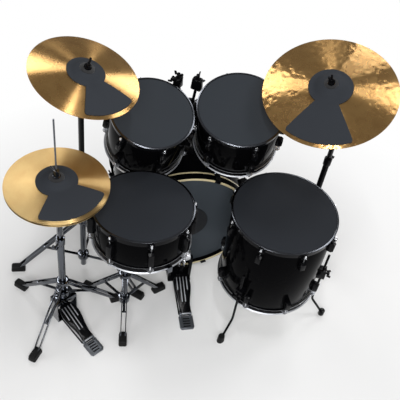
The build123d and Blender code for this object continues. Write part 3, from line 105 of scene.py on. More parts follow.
# Drums: rim centre, lean of the axis and its direction, shell radius, shell depth, finish of the pad
Drum = namedtuple("Drum", "name body rim tilt toward radius depth pad")
FLOOR_TOM = Drum("floor_tom", "kit", (0.328, -0.218, 0.594), 0.0, 0.0, 0.199, 0.381, "low_pad")
DRUMS = (
    Drum("left_tom", "left_tom", (-0.162, 0.071, 0.853), 15.1, -76.0, 0.149, 0.203, "tom_pad"),
    Drum("right_tom", "right_tom", (0.174, 0.073, 0.859), 14.0, -108.0, 0.1615, 0.203, "tom_pad"),
    FLOOR_TOM,
    Drum("snare", "snare_basket", (-0.2205, -0.235, 0.6925), 4.9, 90.0, 0.1765, 0.140, "low_pad"),
)

# Cymbals: rim centre, lean, direction, radius, rise of the bow, bell radius, rise of the bell, make,
# radius of the pad's hub, start and end of its wedge
Cymbal = namedtuple("Cymbal", "name body rim tilt toward radius rise bell_r bell_rise make hub wedge")
HIHAT = Cymbal(
    "hihat_top_cymbal", "hihat_pull_rod", (-0.516, -0.212, 0.791), 0.0, 0.0,
    0.178, 0.017, 0.050, 0.019, "brushed", 0.071, (-114, -19),
)
CRASH = Cymbal(
    "crash_cymbal", "crash_cymbal", (-0.410, 0.013, 1.068), 15.3, -21.0,
    0.190, 0.019, 0.052, 0.019, "lathed", 0.066, (-93, -27),
)
RIDE = Cymbal(
    "ride_cymbal", "ride_cymbal", (0.482, 0.026, 0.972), 17.9, -143.0,
    0.250, 0.025, 0.064, 0.023, "hammered", 0.082, (-148, -85),
)
CYMBALS = (HIHAT, CRASH, RIDE)
CYMBAL_BORE = 0.0065
CYMBAL_THICK = 0.0015
CYMBAL_SKIM = 0.0001
CYMBAL_STEPS = 160
CYMBAL_SMOOTH = 50.0
# Bulge of a bow and of a bell, as shares of their rise
BOW_BULGE = 0.18
BELL_BULGE = 0.26

# Pedals: middle of the hinge pin, turn of the board, rise of the board
Pedal = namedtuple("Pedal", "point turn rise")
BASS_PEDAL = Pedal((-0.010, -0.274, 0.014), 0.0, 16.0)
HIHAT_PEDAL = Pedal((-0.42485, -0.35786, 0.014), 32.0, 16.0)
# Ranges in a pedal's own frame that tell its faces apart
RIB_FACE = (0.0062, 0.0080)
RIB_END = 0.17
BOARD_EDGE = (0.0004, 0.0058)
BOARD_EDGE_START = 0.012
HEEL_HALF_WIDE = 0.036
HEEL_RUN = (-0.0715, 0.008)
HEEL_TOP = 0.01
HEEL_SLOT_HALF_WIDE = 0.0155
HEEL_SLOT_FLOOR = (-0.0075, -0.0054)
BEATER_HEAD_WIDE = 0.036

# Bass drum: middle of its batter end, hoop width, inlaid stripe, batter pad
BASS_END = (0.0, -0.012, 0.290)
BASS_HOOP_WIDE = 0.038
BASS_STRIPE = 0.008
BASS_PAD_LOW = -0.0259
BASS_PAD_FACE = -0.017
BASS_PAD_R = 0.2737
BASS_PATCH_R = 0.100
BASS_PATCH_RISE = 0.002
BASS_PATCH_EDGE = 0.0008
BASS_PATCH_SIDE = (0.3, 0.6)

# Drum pads: reach past the shell's radius, lower and upper face under the rim, crown half way in and in
# the middle
PAD_REACH = 0.0012
PAD_LOW = -0.0089
PAD_HIGH = -0.0005
PAD_CROWN = (0.0003, 0.0004)
PAD_STEPS = 128
QUARTER = (0.0, pi / 6, pi / 3, pi / 2)

# Cymbal pads: lift over the cymbal's lower face, thickness, hole, bare band at the rim, edge, span that the
# foam bridges
SKIN_LIFT = 0.00165
SKIN_THICK = 0.004
SKIN_HOLE = 0.026
SKIN_BARE = 0.013
SKIN_ROUND = 0.0011
SKIN_BRIDGE = (-0.007, -0.0035, 0.0, 0.0035, 0.007)
HUB_STEPS = 12
WEDGE_STEPS = 10

# Boots: largest height and length, how near the floor they start, top of the sole, growth of sole and top along
# and across, growth in height, edge
BOOT_TALL = 0.03
BOOT_LONG = 0.095
BOOT_ON_FLOOR = 0.001
BOOT_SOLE = 0.005
BOOT_SOLE_GROWTH = (1.1, 1.4)
BOOT_TOP_GROWTH = (0.96, 1.15)
BOOT_RISE = 1.4
BOOT_ROUND = 0.007
# Length of a boot's side against its longest reach from the middle
BOOT_SIDE = (0.6, 1.98)

# Tension rods: largest volume of a rod, height of both hoops past the shell, depths where a rod shows
ROD_VOLUME = 4e-6
HOOPS_PAST_SHELL = 0.020
ROD_SHOWS = (0.006, 0.06)
# Depth of a batter hoop's rim, and share of the depth below which a hoop is the lower one
RIM_DEEP = 0.002
LOWER_HOOP = 0.6

# Clamp heads on the tom arms: body, foot of the head, turn, width, height
CLAMP_HEADS = (
    ("left_tom_arm", (-0.0475, 0.2249, 0.844), 140.0, 0.040, 0.048),
    ("right_tom_arm", (0.0281, 0.2251, 0.832), 55.0, 0.044, 0.052),
)
CLAMP_DEEP = 0.030
CLAMP_ROUND = 0.006
CLAMP_TAPER = 0.86
CLAMP_BOLT_OUT = 0.0125
BOLT_SUNK = 0.001
# Floor tom's leg brackets, the height of their bolts and the bolts' distance from the drum's axis
LEG_BRACKETS = ((0.5285, -0.295), (0.369, -0.0065), (0.1695, -0.3635))
LEG_BOLT_TALL = 0.285
LEG_BOLT_OUT = 0.2305
# Wing bolts: turned stem, then size, place and lean of a wing
BOLT_STEM = (
    (0.0, 0.0), (0.004, 0.0), (0.004, 0.006), (0.0075, 0.008), (0.0075, 0.015), (0.006, 0.018), (0.0, 0.0185),
)
BOLT_STEPS = 24
WING_SIZE = (0.012, 0.0045, 0.017)
WING_ROUND = 0.0016
WING_TAPER = 0.8
WING_OUT = 0.010
WING_UP = 0.007
WING_LEAN = 24.0
# Cymbal washers: radii from the hole out, lift over the cymbal's lower face, thickness, edge
WASHER_RADII = (0.0142, 0.018, 0.022, 0.0255)
WASHER_LIFT = 0.0017
WASHER_THICK = 0.0048
WASHER_ROUND = 0.0012
WASHER_STEPS = 64

# Bronze: patches of tone, depth of the grooves, size and depth of hammer marks, roughness of each make,
# phase of Blender's wave texture over one unit
CLOUD_SIZE = 0.045
GROOVE_DEEP = 0.0001
HAMMER_SIZE = 0.021
HAMMER_DEEP = 0.0015
BRONZE_ROUGH = {"brushed": (0.36, 0.42), "lathed": (0.24, 0.31), "hammered": (0.24, 0.31)}
WAVE_RATE = 20.0

# Stage: floor, middle of the fade to white and its start and end, point the lights face
FLOOR_SIZE = 16.0
FLOOR_SUNK = 0.0005
FADE_MIDDLE = (0.0, -0.45, 0.0)
FADE_FROM = 0.8
FADE_TO = 1.7
LIT_POINT = (0.0, 0.0, 0.9)
SENSOR = 36.0
CLIP_END = 50.0
WHITE = (1.0, 1.0, 1.0, 1.0)
# Lights: name, place, width and height, setting that holds the power
LIGHTS = (
    ("key_box", (-0.68, -2.53, 2.74), (1.6, 1.6), "key"),
    ("left_box", (-0.87, 2.05, 3.2), (0.9, 0.9), "box"),
    ("right_box", (1.89, 2.1, 2.4), (0.9, 0.9), "box"),
    ("side_box", (2.19, 0.59, 3.16), (0.9, 0.9), "box"),
    ("overhead_strip", (0.0, -0.54, 3.44), (0.04, 0.8), "line"),
    ("front_high_strip", (-0.4, -2.6, 3.3), (2.6, 0.08), "strip"),
    ("right_strip", (3.1, -0.3, 1.3), (0.1, 1.5), "strip"),
    ("left_strip", (-2.6, -1.8, 1.3), (0.1, 1.5), "strip"),
    ("front_strip", (1.0, -3.1, 1.2), (0.06, 1.5), "strip"),
)

# Shares of a face's normal along an axis, which tell how far it is turned that way
SQUARE = 0.9
MOSTLY = 0.6
HALF = 0.5
SIDEWAYS = 0.3
ALIGNED = 0.9999999
# Distances within which points are merged, on turned pieces and on others, and that still count as at an end
HAIR = 1e-6
MERGE = 1e-5
AT_END = 0.001
AT_HUB = 0.0005
# Degrees within which a copy's faces are made one
FLAT = 0.5
# Segments of a rounded edge
FINE_ROUND = 3
PLUMP_ROUND = 4


def linear(code):
    """Linear RGBA of an sRGB hex colour."""
    parts = [int(code[at : at + 2], 16) / 255 for at in (1, 3, 5)]
    return tuple(p / 12.92 if p <= 0.04045 else ((p + 0.055) / 1.055) ** 2.4 for p in parts) + (1.0,)


def colour(name, code):
    about = f"Colour of the {name.lower()}"
    return FloatVectorProperty(
        name=name, description=about, subtype="COLOR", size=4, min=0.0, max=1.0, default=linear(code)
    )


def setting(name, about, default, **kind):
    return FloatProperty(name=name, description=about, default=default, **kind)


def length(name, about, default):
    return setting(name, about, default, min=0.0, unit="LENGTH", subtype="DISTANCE")


def bearing(name, about, default):
    return setting(name, about, radians(default), subtype="ANGLE")


def watts(name, about, default):
    return setting(name, about, default, unit="POWER")


class KitColours(bpy.types.PropertyGroup):
    lacquer: colour("Shell lacquer", "#050506")
    enamel: colour("Lug and stand enamel", "#08080a")
    nickel: colour("Hoop black nickel", "#0c0c0e")
    chrome: colour("Chrome plate", "#5e6167")
    # The next two colours are painted highlights on the black nickel hoops, lighter where the lights would
    # catch them
    hoop_edge: colour("Hoop edge", "#b9bbc0")
    hoop_rim: colour("Hoop rim", "#4c4e53")
    rod: colour("Tension rod", "#d6d8dc")
    steel: colour("Grey pressed steel", "#8d9095")
    bronze: colour("Cymbal bronze", "#d9ae70")
    bronze_dark: colour("Cymbal bronze in the grooves", "#97673a")
    pale_bronze: colour("Hi-hat bronze", "#cbb07c")
    pale_bronze_dark: colour("Hi-hat bronze in the grooves", "#a37d48")
    # The tom pads are the same foam as the snare and floor tom pads, painted lighter for the light that their
    # tilt catches
    tom_pad: colour("Tom pad foam rubber painted lighter", "#2b2f34")
    low_pad: colour("Snare and floor tom pad foam rubber", "#22252a")
    cymbal_pad: colour("Cymbal pad foam rubber", "#2b2e33")
    bass_pad: colour("Bass pad foam rubber", "#3f454b")
    bass_patch: colour("Bass pad impact patch", "#1a1c20")
    film: colour("Drum head film", "#d9d9d4")
    rubber: colour("Rubber feet", "#0c0c0d")
    felt: colour("Beater felt", "#d9cdb0")
    dark_felt: colour("Cymbal felt", "#18181a")
    inlay: colour("Bass hoop inlay", "#cdbf98")
    alloy: colour("Cast alloy", "#6d7177")
    rib: colour("Footboard inlay", "#9a9da2")
    floor: colour("Studio floor", "#e6e6e6")


class KitSizes(bpy.types.PropertyGroup):
    edge: length("Edge round", "Rounding of cast and pressed hardware edges", 0.0009)
    pad_edge: length("Pad edge round", "Rounding of the mute pads' edges", 0.0018)
    pad_corner: length("Pad corner round", "Rounding of the corners of the cymbal pads' wedges", 0.010)
    groove: length("Lathe groove pitch", "Distance between lathe grooves on the cymbals", 0.0026)
    grain: length("Foam grain", "Size of the foam rubber's surface cells", 0.0011)


class KitStage(bpy.types.PropertyGroup):
    lens: setting("Lens", "Focal length on a 36 mm sensor", 63.0, unit="CAMERA")
    eye: FloatVectorProperty(
        name="Camera place",
        description="Where the camera stands",
        default=(-0.497, -1.849, 2.556),
        subtype="XYZ",
    )
    heading: bearing("Heading", "Turn of the view from straight ahead", 16.51)
    pitch: bearing("Pitch", "Fall of the view below level", 47.74)
    roll: bearing("Roll", "Turn of the camera about its view", 9.61)
    key: watts("Key box", "Power of the large soft box in front", 66.0)
    box: watts("Back boxes", "Power of each soft box behind the kit", 22.0)
    line: watts("Overhead strip", "Power of the narrow light overhead", 15.0)
    strip: watts("Edge strips", "Power of each strip that picks out edges", 12.0)
    sky: setting("Surroundings", "Strength of the even light from all round", 0.25)
    white: setting("White of the sweep", "Share of plain white in the floor by the kit", 0.05, subtype="FACTOR")


def colours():
    return bpy.context.scene.kit_colours


def sizes():
    return bpy.context.scene.kit_sizes


# Placing and shaping


def leaning(point, tilt=0.0, toward=0.0):
    """Frame at a point whose Z leans from upright by tilt degrees in the direction toward."""
    place = Matrix.Translation(point)
    if not tilt:
        return place
    lean = radians(tilt)
    way = radians(toward)
    up = Vector((sin(lean) * cos(way), sin(lean) * sin(way), cos(lean)))
    across = Vector((-sin(way), cos(way), 0.0))
    return place @ Matrix((across, up.cross(across), up)).transposed().to_4x4()


def rim_frame(drum_or_cymbal):
    """Frame in the middle of a rim, with Z along the axis."""
    return leaning(drum_or_cymbal.rim, drum_or_cymbal.tilt, drum_or_cymbal.toward)


def spun(angle):
    return Matrix.Rotation(radians(angle), 4, "Z")


def facing(point, way):
    """Frame at a point whose Z runs along way, which is not upright."""
    ahead = Vector(way).normalized()
    side = Vector((0.0, 0.0, 1.0)).cross(ahead).normalized()
    return Matrix.Translation(point) @ Matrix((side, ahead.cross(side), ahead)).transposed().to_4x4()


def mode(kind):
    bpy.ops.object.mode_set(mode=kind)


def deselect():
    if bpy.context.mode != "OBJECT":
        mode("OBJECT")
    bpy.ops.object.select_all(action="DESELECT")


def activate(piece):
    deselect()
    piece.select_set(True)
    bpy.context.view_layer.objects.active = piece
    return piece


def put(piece, place):
    """Set a piece down at a frame, so that its own transform stays at rest."""
    activate(piece)
    piece.matrix_world = place
    bpy.ops.object.transform_apply(location=True, rotation=True, scale=True)
    return piece


def edit_all():
    mode("EDIT")
    bpy.ops.mesh.select_all(action="SELECT")


def smooth(piece, angle=35.0):
    activate(piece)
    bpy.ops.object.shade_smooth_by_angle(angle=radians(angle))
    return piece


def bevelled(piece, width, segments, **limits):
    """Round the edges that the limits pick out."""
    activate(piece)
    bevel = piece.modifiers.new("round", "BEVEL")
    bevel.width = width
    bevel.segments = segments
    for key, value in limits.items():
        setattr(bevel, key, value)
    bpy.ops.object.modifier_apply(modifier=bevel.name)
    return piece


def rounded(piece, width, segments=2, angle=35.0):
    """Round the edges of a piece that are sharper than an angle."""
    bevelled(piece, width, segments, limit_method="ANGLE", angle_limit=radians(angle))
    return smooth(piece, angle)


def lathe(points, steps, angle=tau):
    """Piece turned about Z from (radius, height) points."""
    deselect()
    bpy.ops.mesh.primitive_plane_add(size=0.001)
    edit_all()
    bpy.ops.mesh.merge(type="CENTER")
    bpy.ops.transform.translate(value=(points[0][0], 0.0, points[0][1]))
    for last, point in zip(points, points[1:]):
        run = (point[0] - last[0], 0.0, point[1] - last[1])
        bpy.ops.mesh.extrude_vertices_move(TRANSFORM_OT_translate={"value": run})
    bpy.ops.mesh.select_all(action="SELECT")
    bpy.ops.mesh.spin(steps=steps, angle=angle, center=(0, 0, 0), axis=(0, 0, 1))
    bpy.ops.mesh.select_all(action="SELECT")
    bpy.ops.mesh.remove_doubles(threshold=HAIR)
    bpy.ops.mesh.normals_make_consistent(inside=False)
    mode("OBJECT")
    return smooth(bpy.context.active_object)


def block(wide, deep, tall, edge, segments, taper):
    """Block standing on its frame, with its top drawn in and its edges rounded."""
    deselect()
    bpy.ops.mesh.primitive_cube_add(size=1.0, location=(0, 0, 0.5))
    piece = bpy.context.active_object
    put(piece, Matrix.Diagonal((wide, deep, tall, 1.0)) @ piece.matrix_world)
    mode("EDIT")
    bpy.ops.mesh.select_all(action="DESELECT")
    mode("OBJECT")
    for face in piece.data.polygons:
        face.select = face.normal.z > SQUARE
    mode("EDIT")
    bpy.ops.transform.resize(value=(taper, taper, 1.0))
    mode("OBJECT")
    return rounded(piece, edge, segments)


def joined(pieces, name):
    """One piece from several."""
    deselect()
    for piece in pieces:
        piece.select_set(True)
    bpy.context.view_layer.objects.active = pieces[0]
    bpy.ops.object.join()
    pieces[0].name = name
    return pieces[0]


def finish(piece, name, body, *materials, slot=None):
    """Name a piece, give it its materials and let it move with its body."""
    piece.name = name
    piece.data.name = name
    if materials:
        piece.data.materials.clear()
    for material in materials:
        piece.data.materials.append(material)
    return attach(piece, body)


# Materials


def node(tree, kind, links=None, **settings):
    """Add a node: settings go to its sockets or its own fields, links to its inputs."""
    new = tree.nodes.new(kind)
    for key, value in settings.items():
        socket = new.inputs.get(key.replace("_", " ").title())
        if socket is not None:
            socket.default_value = value
        else:
            setattr(new, key, value)
    for key, source in (links or {}).items():
        tree.links.new(source, new.inputs[key])
    return new


def blank(name, **sockets):
    """Material with one principled surface; returns it with its tree and surface node."""
    material = bpy.data.materials.new(name)
    material.use_nodes = True
    tree = material.node_tree
    surface = tree.nodes["Principled BSDF"]
    for key, value in sockets.items():
        surface.inputs[key.replace("_", " ").title().replace("Ior", "IOR")].default_value = value
    return material, tree, surface


def paint(name, base, size, strength, depth, low, high, **sockets):
    """Material with fine surface noise: a bump, and a roughness that wanders between low and high."""
    material, tree, surface = blank(name, base_color=base, **sockets)
    where = node(tree, "ShaderNodeTexCoord").outputs["Object"]
    noise = node(tree, "ShaderNodeTexNoise", {"Vector": where}, scale=1.0 / size, detail=3.0)
    wander = {"Value": noise.outputs["Fac"]}
    bump = node(tree, "ShaderNodeBump", {"Height": noise.outputs["Fac"]}, strength=strength, distance=depth)
    tree.links.new(bump.outputs["Normal"], surface.inputs["Normal"])
    span = node(tree, "ShaderNodeMapRange", wander, to_min=low, to_max=high)
    tree.links.new(span.outputs["Result"], surface.inputs["Roughness"])
    return material


def bronze(name, cymbal):
    """Lathed bronze: grooves about the cymbal's own axis, darker in the troughs, and any hammer marks."""
    paints = colours()
    material, tree, surface = blank(name, metallic=1.0, anisotropic=1.0, anisotropic_rotation=0.25)
    where = node(tree, "ShaderNodeTexCoord").outputs["Object"]
    turn = rim_frame(cymbal).to_euler()
    own = node(
        tree, "ShaderNodeMapping", {"Vector": where}, vector_type="TEXTURE", location=cymbal.rim, rotation=turn
    ).outputs["Vector"]
    turned = {"wave_type": "RINGS", "rings_direction": "Z", "distortion": 1.2, "detail": 2.0}
    rate = tau / (WAVE_RATE * sizes().groove)
    rings = node(tree, "ShaderNodeTexWave", {"Vector": own}, scale=rate, **turned).outputs["Fac"]
    cloud = node(tree, "ShaderNodeTexNoise", {"Vector": own}, scale=1.0 / CLOUD_SIZE, detail=2.5).outputs["Fac"]
    soft = node(tree, "ShaderNodeMath", {0: rings, 1: cloud}, operation="ADD")
    tone = node(tree, "ShaderNodeMapRange", {"Value": soft.outputs["Value"]}, from_min=0.3, from_max=1.05)
    mix = node(tree, "ShaderNodeMix", {"Factor": tone.outputs["Result"]}, data_type="RGBA")
    brushed = cymbal.make == "brushed"
    mix.inputs[6].default_value = paints.pale_bronze_dark if brushed else paints.bronze_dark
    mix.inputs[7].default_value = paints.pale_bronze if brushed else paints.bronze
    tree.links.new(mix.outputs[2], surface.inputs["Base Color"])
    low, high = BRONZE_ROUGH[cymbal.make]
    rough = node(tree, "ShaderNodeMapRange", {"Value": cloud}, to_min=low, to_max=high)
    tree.links.new(rough.outputs["Result"], surface.inputs["Roughness"])
    cut = node(tree, "ShaderNodeBump", {"Height": rings}, strength=0.15, distance=GROOVE_DEEP)
    if cymbal.make == "hammered":
        dents = node(
            tree, "ShaderNodeTexVoronoi", {"Vector": own}, scale=1.0 / HAMMER_SIZE, feature="SMOOTH_F1"
        )
        both = {"Height": dents.outputs["Distance"], "Normal": cut.outputs["Normal"]}
        cut = node(tree, "ShaderNodeBump", both, strength=0.8, distance=HAMMER_DEEP)
    tree.links.new(cut.outputs["Normal"], surface.inputs["Normal"])
    along = node(tree, "ShaderNodeTangent", direction_type="UV_MAP", uv_map="turn")
    tree.links.new(along.outputs["Tangent"], surface.inputs["Tangent"])
    return material


# Finishes: setting that holds the colour, name, size of the surface noise, strength and depth of its bump,
# lowest and highest roughness, other sockets
FINISHES = (
    # Sprayed and polished lacquer on wood shells
    ("lacquer", "Black lacquer polished", 0.02, 0.02, 0.0004, 0.05, 0.1, {"specular_ior_level": 0.016}),
    # Stove enamel on die-cast lugs and stands
    ("enamel", "Black enamel stoved", 0.006, 0.05, 0.0002, 0.14, 0.24, {"specular_ior_level": 0.1}),
    # Black nickel on pressed hoops
    ("nickel", "Black nickel plated", 0.01, 0.02, 0.0002, 0.06, 0.12, {"specular_ior_level": 0.05}),
    # Painted highlights on the black nickel: bright satin metal on the upward faces where the lower hoops are
    # rolled over, and a milder one on the upper hoops' rims
    ("hoop_edge", "Black nickel edge polished", 0.01, 0.02, 0.0002, 0.4, 0.5, {"metallic": 1.0}),
    ("hoop_rim", "Black nickel rim polished", 0.01, 0.02, 0.0002, 0.16, 0.26, {"metallic": 1.0}),
    # Bright zinc on the tension rods
    ("rod", "Steel rod zinc plated", 0.006, 0.03, 0.0001, 0.2, 0.32, {"metallic": 1.0}),
    # Decorative chrome on steel
    ("chrome", "Steel chrome plated", 0.015, 0.01, 0.0002, 0.04, 0.1, {"metallic": 1.0}),
    # Pressed steel sheet, satin
    ("steel", "Steel sheet satin", 0.004, 0.04, 0.0001, 0.28, 0.42, {"metallic": 1.0}),
    # Cast and tumbled alloy
    ("alloy", "Alloy cast tumbled", 0.003, 0.08, 0.0002, 0.34, 0.5, {"metallic": 1.0}),
    # Polyester drum head, coated
    ("film", "Polyester film coated", 0.004, 0.05, 0.0001, 0.35, 0.5, {}),
    # Moulded rubber
    ("rubber", "Rubber moulded", 0.002, 0.1, 0.0002, 0.5, 0.68, {"specular_ior_level": 0.2}),
    # Pressed wool felt
    ("felt", "Wool felt pressed", 0.0016, 0.6, 0.0006, 0.9, 1.0, {"sheen_weight": 0.3}),
    ("dark_felt", "Wool felt dyed", 0.0016, 0.6, 0.0006, 0.9, 1.0, {"sheen_weight": 0.2}),
    # Lacquered inlay on the bass hoops
    ("inlay", "Hoop inlay lacquered", 0.01, 0.03, 0.0002, 0.2, 0.3, {}),
    # Anodised strips on the footboards
    ("rib", "Inlay strip anodised", 0.003, 0.05, 0.0001, 0.35, 0.5, {"metallic": 0.6}),
)
# The same without the size of the noise, which is the foam's grain
FOAM = (0.35, 0.0004, 0.72, 0.9, {"specular_ior_level": 0.15})
FOAMS = (
    # Closed-cell foam rubber with a fine grain
    # The toms' copy of the foam is painted lighter than the snare and floor tom's, for the light that their
    # tilt catches
    ("tom_pad", "Foam rubber grey grained", *FOAM),
    ("low_pad", "Foam rubber dark grained", *FOAM),
    ("cymbal_pad", "Foam rubber cymbal grained", *FOAM),
    ("bass_pad", "Foam rubber bass grained", *FOAM),
    # Smooth vulcanised patch in the middle of the bass pad
    ("bass_patch", "Rubber patch pressed", 0.15, 0.0002, 0.5, 0.62, {"specular_ior_level": 0.2}),
)
MATERIALS = {}


class KIT_OT_finishes(bpy.types.Operator):
    bl_idname = "kit.finishes"
    bl_label = "Finishes"

    def execute(self, context):
        paints = colours()
        for key, name, *surface, sockets in FINISHES:
            MATERIALS[key] = paint(name, getattr(paints, key), *surface, **sockets)
        for key, name, *surface, sockets in FOAMS:
            MATERIALS[key] = paint(name, getattr(paints, key), sizes().grain, *surface, **sockets)
        for cymbal in CYMBALS:
            MATERIALS[cymbal.name] = bronze(f"Bronze {cymbal.make} {cymbal.name}", cymbal)
        return {"FINISHED"}


# Refined hardware: copies of construction nodes with merged, rounded edges and a finish for each loose part


def loose_parts(mesh):
    """Faces of each loose part of a mesh."""
    root = list(range(len(mesh.vertices)))

    def find(at):
        while root[at] != at:
            root[at] = root[root[at]]
            at = root[at]
        return at

    for edge in mesh.edges:
        one, two = edge.vertices
        root[find(one)] = find(two)
    groups = {}
    for face in mesh.polygons:
        groups.setdefault(find(face.vertices[0]), []).append(face)
    return list(groups.values())


def volume(mesh, faces):
    """Volume inside the faces of one loose part."""
    total = 0.0
    for face in faces:
        corners = [mesh.vertices[at].co for at in face.vertices]
        for one, two in zip(corners[1:], corners[2:]):
            total += corners[0].dot(one.cross(two)) / 6.0
    return abs(total)


def extent(mesh, faces):
    """Lowest and highest corner of one loose part."""
    points = [mesh.vertices[at].co for face in faces for at in face.vertices]
    low = Vector([min(point[axis] for point in points) for axis in range(3)])
    high = Vector([max(point[axis] for point in points) for axis in range(3)])
    return low, high


def copied(name):
    """Copy of a construction node's mesh, merged and with its flat faces made whole."""
    source = frame["nodes"][name]
    piece = source.copy()
    piece.data = source.data.copy()
    bpy.context.scene.collection.objects.link(piece)
    piece.parent = None
    piece.matrix_world = Matrix.Identity(4)
    piece.hide_render = False
    piece.hide_viewport = False
    for key in list(piece.keys()):
        del piece[key]
    activate(piece)
    bpy.ops.mesh.customdata_custom_splitnormals_clear()
    edit_all()
    bpy.ops.mesh.remove_doubles(threshold=MERGE)
    bpy.ops.mesh.dissolve_limited(angle_limit=radians(FLAT))
    mode("OBJECT")
    return piece


def body_of(name):
    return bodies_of(frame["nodes"][name])[0]


def pedal_frame(pedal, rise):
    turn = Matrix.Translation(pedal.point) @ spun(pedal.turn)
    return turn @ Matrix.Rotation(radians(rise), 4, "X")


def within(value, span):
    return span[0] < value < span[1]


def boots(mesh):
    """Loose parts that stand on the floor."""
    for faces in loose_parts(mesh):
        low, high = extent(mesh, faces)
        if high.z < BOOT_TALL and low.z < BOOT_ON_FLOOR and (high - low).length < BOOT_LONG:
            yield faces


def shoes(piece):
    """Rubber on the parts that stand on the floor."""
    for faces in boots(piece.data):
        yield from ((face, "rubber") for face in faces)


def booted(piece):
    """Round the boots on the floor well over the rest, and let them spread towards their soles."""
    mesh = piece.data
    parts = [{at for face in faces for at in face.vertices} for faces in boots(mesh)]
    spots = [[mesh.vertices[at] for at in part] for part in parts]
    if not spots:
        return piece
    for boot in spots:
        middle = sum((vertex.co.xy for vertex in boot), Vector((0.0, 0.0))) / len(boot)
        reach = max((vertex.co.xy - middle).length for vertex in boot)
        edges = [one.co.xy - two.co.xy for one in boot for two in boot]
        sides = [edge for edge in edges if BOOT_SIDE[0] * reach < edge.length < BOOT_SIDE[1] * reach]
        along = max(sides, key=lambda edge: edge.length).normalized()
        for vertex in boot:
            out = vertex.co.xy - middle
            run = along * out.dot(along)
            lengthwise, crosswise = BOOT_SOLE_GROWTH if vertex.co.z < BOOT_SOLE else BOOT_TOP_GROWTH
            vertex.co.xy = middle + run * lengthwise + (out - run) * crosswise
            vertex.co.z *= BOOT_RISE
    group = piece.vertex_groups.new(name="boots")
    group.add([vertex.index for boot in spots for vertex in boot], 1.0, "REPLACE")
    bevelled(piece, BOOT_ROUND, PLUMP_ROUND, limit_method="VGROUP", vertex_group=group.name)
    piece.vertex_groups.clear()
    return piece


def slim_rods(piece):
    """Chrome on the small parts."""
    for faces in loose_parts(piece.data):
        if volume(piece.data, faces) < ROD_VOLUME:
            yield from ((face, "chrome") for face in faces)


def rods_of(drum):
    """Rule for zinc where a drum's tension rods show between their hoops and lugs."""

    def rule(piece):
        back = rim_frame(drum).inverted()
        height = drum.depth + HOOPS_PAST_SHELL
        for face, _ in slim_rods(piece):
            deep = -(back @ face.center).z
            if within(min(deep, height - deep), ROD_SHOWS):
                yield face, "rod"

    return rule


def board_of(pedal):
    """Rule for a footboard's inlaid ribs and its bright edge."""

    def rule(piece):
        back = pedal_frame(pedal, pedal.rise).inverted()
        for face in piece.data.polygons:
            spot = back @ face.center
            lean = back.to_3x3() @ face.normal
            if within(spot.z, RIB_FACE) and spot.y < RIB_END:
                yield face, "rib"
            elif within(spot.z, BOARD_EDGE) and abs(lean.z) < SIDEWAYS and spot.y > BOARD_EDGE_START:
                yield face, "alloy"

    return rule


def heel_of(pedal):
    """Rule for a heel plate of cast alloy with dark slots."""

    def rule(piece):
        back = pedal_frame(pedal, 0.0).inverted()
        for face in piece.data.polygons:
            spot = back @ face.center
            if abs(spot.x) > HEEL_HALF_WIDE or not within(spot.y, HEEL_RUN) or spot.z > HEEL_TOP:
                continue
            slot = abs(spot.x) < HEEL_SLOT_HALF_WIDE and within(spot.z, HEEL_SLOT_FLOOR)
            yield face, "rubber" if slot else "alloy"

    return rule


def beater_felt(piece):
    """Felt on the beater's head, which is narrower than the part with the axle."""
    for faces in loose_parts(piece.data):
        low, high = extent(piece.data, faces)
        if high.x - low.x < BEATER_HEAD_WIDE:
            yield from ((face, "felt") for face in faces)


# Node, finish of most of it, rules that pick out other finishes
HARDWARE = (
    ("bass_claws_and_rods", "enamel", (slim_rods,)),
    ("bass_lugs_and_spur_brackets", "enamel", ()),
    ("bass_spur_left", "chrome", (shoes,)),
    ("bass_spur_right", "chrome", (shoes,)),
    ("tom_holder_base", "enamel", ()),
    ("tom_holder_post", "chrome", ()),
    ("left_tom_arm", "enamel", ()),
    ("right_tom_arm", "enamel", ()),
    *((f"floor_tom_leg_{side}", "enamel", (shoes,)) for side in ("left", "right", "back")),
    *((f"{drum.name}_lugs_and_rods", "enamel", (rods_of(drum),)) for drum in DRUMS),
    ("snare_throw_off_lever", "chrome", ()),
    ("snare_wires", "steel", ()),
    ("snare_stand_base", "chrome", (shoes,)),
    ("snare_stand_tube", "chrome", ()),
    ("snare_basket", "chrome", ()),
    ("hihat_stand_base", "chrome", (shoes, heel_of(HIHAT_PEDAL))),
    ("hihat_footboard", "enamel", (board_of(HIHAT_PEDAL),)),
    ("hihat_upper_tube", "chrome", ()),
    ("hihat_pull_rod", "chrome", ()),
    ("crash_stand_base", "chrome", (shoes,)),
    ("crash_upper_tube", "enamel", ()),
    ("crash_tilter", "enamel", ()),
    ("ride_stand_base", "enamel", (shoes,)),
    ("ride_upper_tube", "enamel", ()),
    ("ride_boom", "enamel", ()),
    ("bass_pedal_frame", "enamel", (heel_of(BASS_PEDAL),)),
    ("bass_pedal_footboard", "enamel", (board_of(BASS_PEDAL),)),
    ("bass_pedal_beater", "rod", (beater_felt,)),
)


def painted(piece, main, rules=()):
    """Give a piece its main finish and the finishes that the rules pick out."""
    names = [main]
    marks = [0] * len(piece.data.polygons)
    for rule in rules:
        for face, finish_name in rule(piece):
            if finish_name not in names:
                names.append(finish_name)
            marks[face.index] = names.index(finish_name)
    piece.data.materials.clear()
    for name in names:
        piece.data.materials.append(MATERIALS[name])
    piece.data.polygons.foreach_set("material_index", marks)
    return piece


def stand_in(piece, name, suffix):
    """Let a finished piece take the place of a construction node."""
    piece.name = f"{name}_{suffix}"
    piece.data.name = piece.name
    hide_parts(name)
    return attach(piece, body_of(name))


class KIT_OT_hardware(bpy.types.Operator):
    """Round the edges of the stands, lugs, pedals and fittings"""

    bl_idname = "kit.hardware"
    bl_label = "Hardware"

    def execute(self, context):
        for name, main, rules in HARDWARE:
            piece = painted(copied(name), main, rules)
            if shoes in rules:
                booted(piece)
            stand_in(rounded(piece, sizes().edge), name, "rounded")
        return {"FINISHED"}


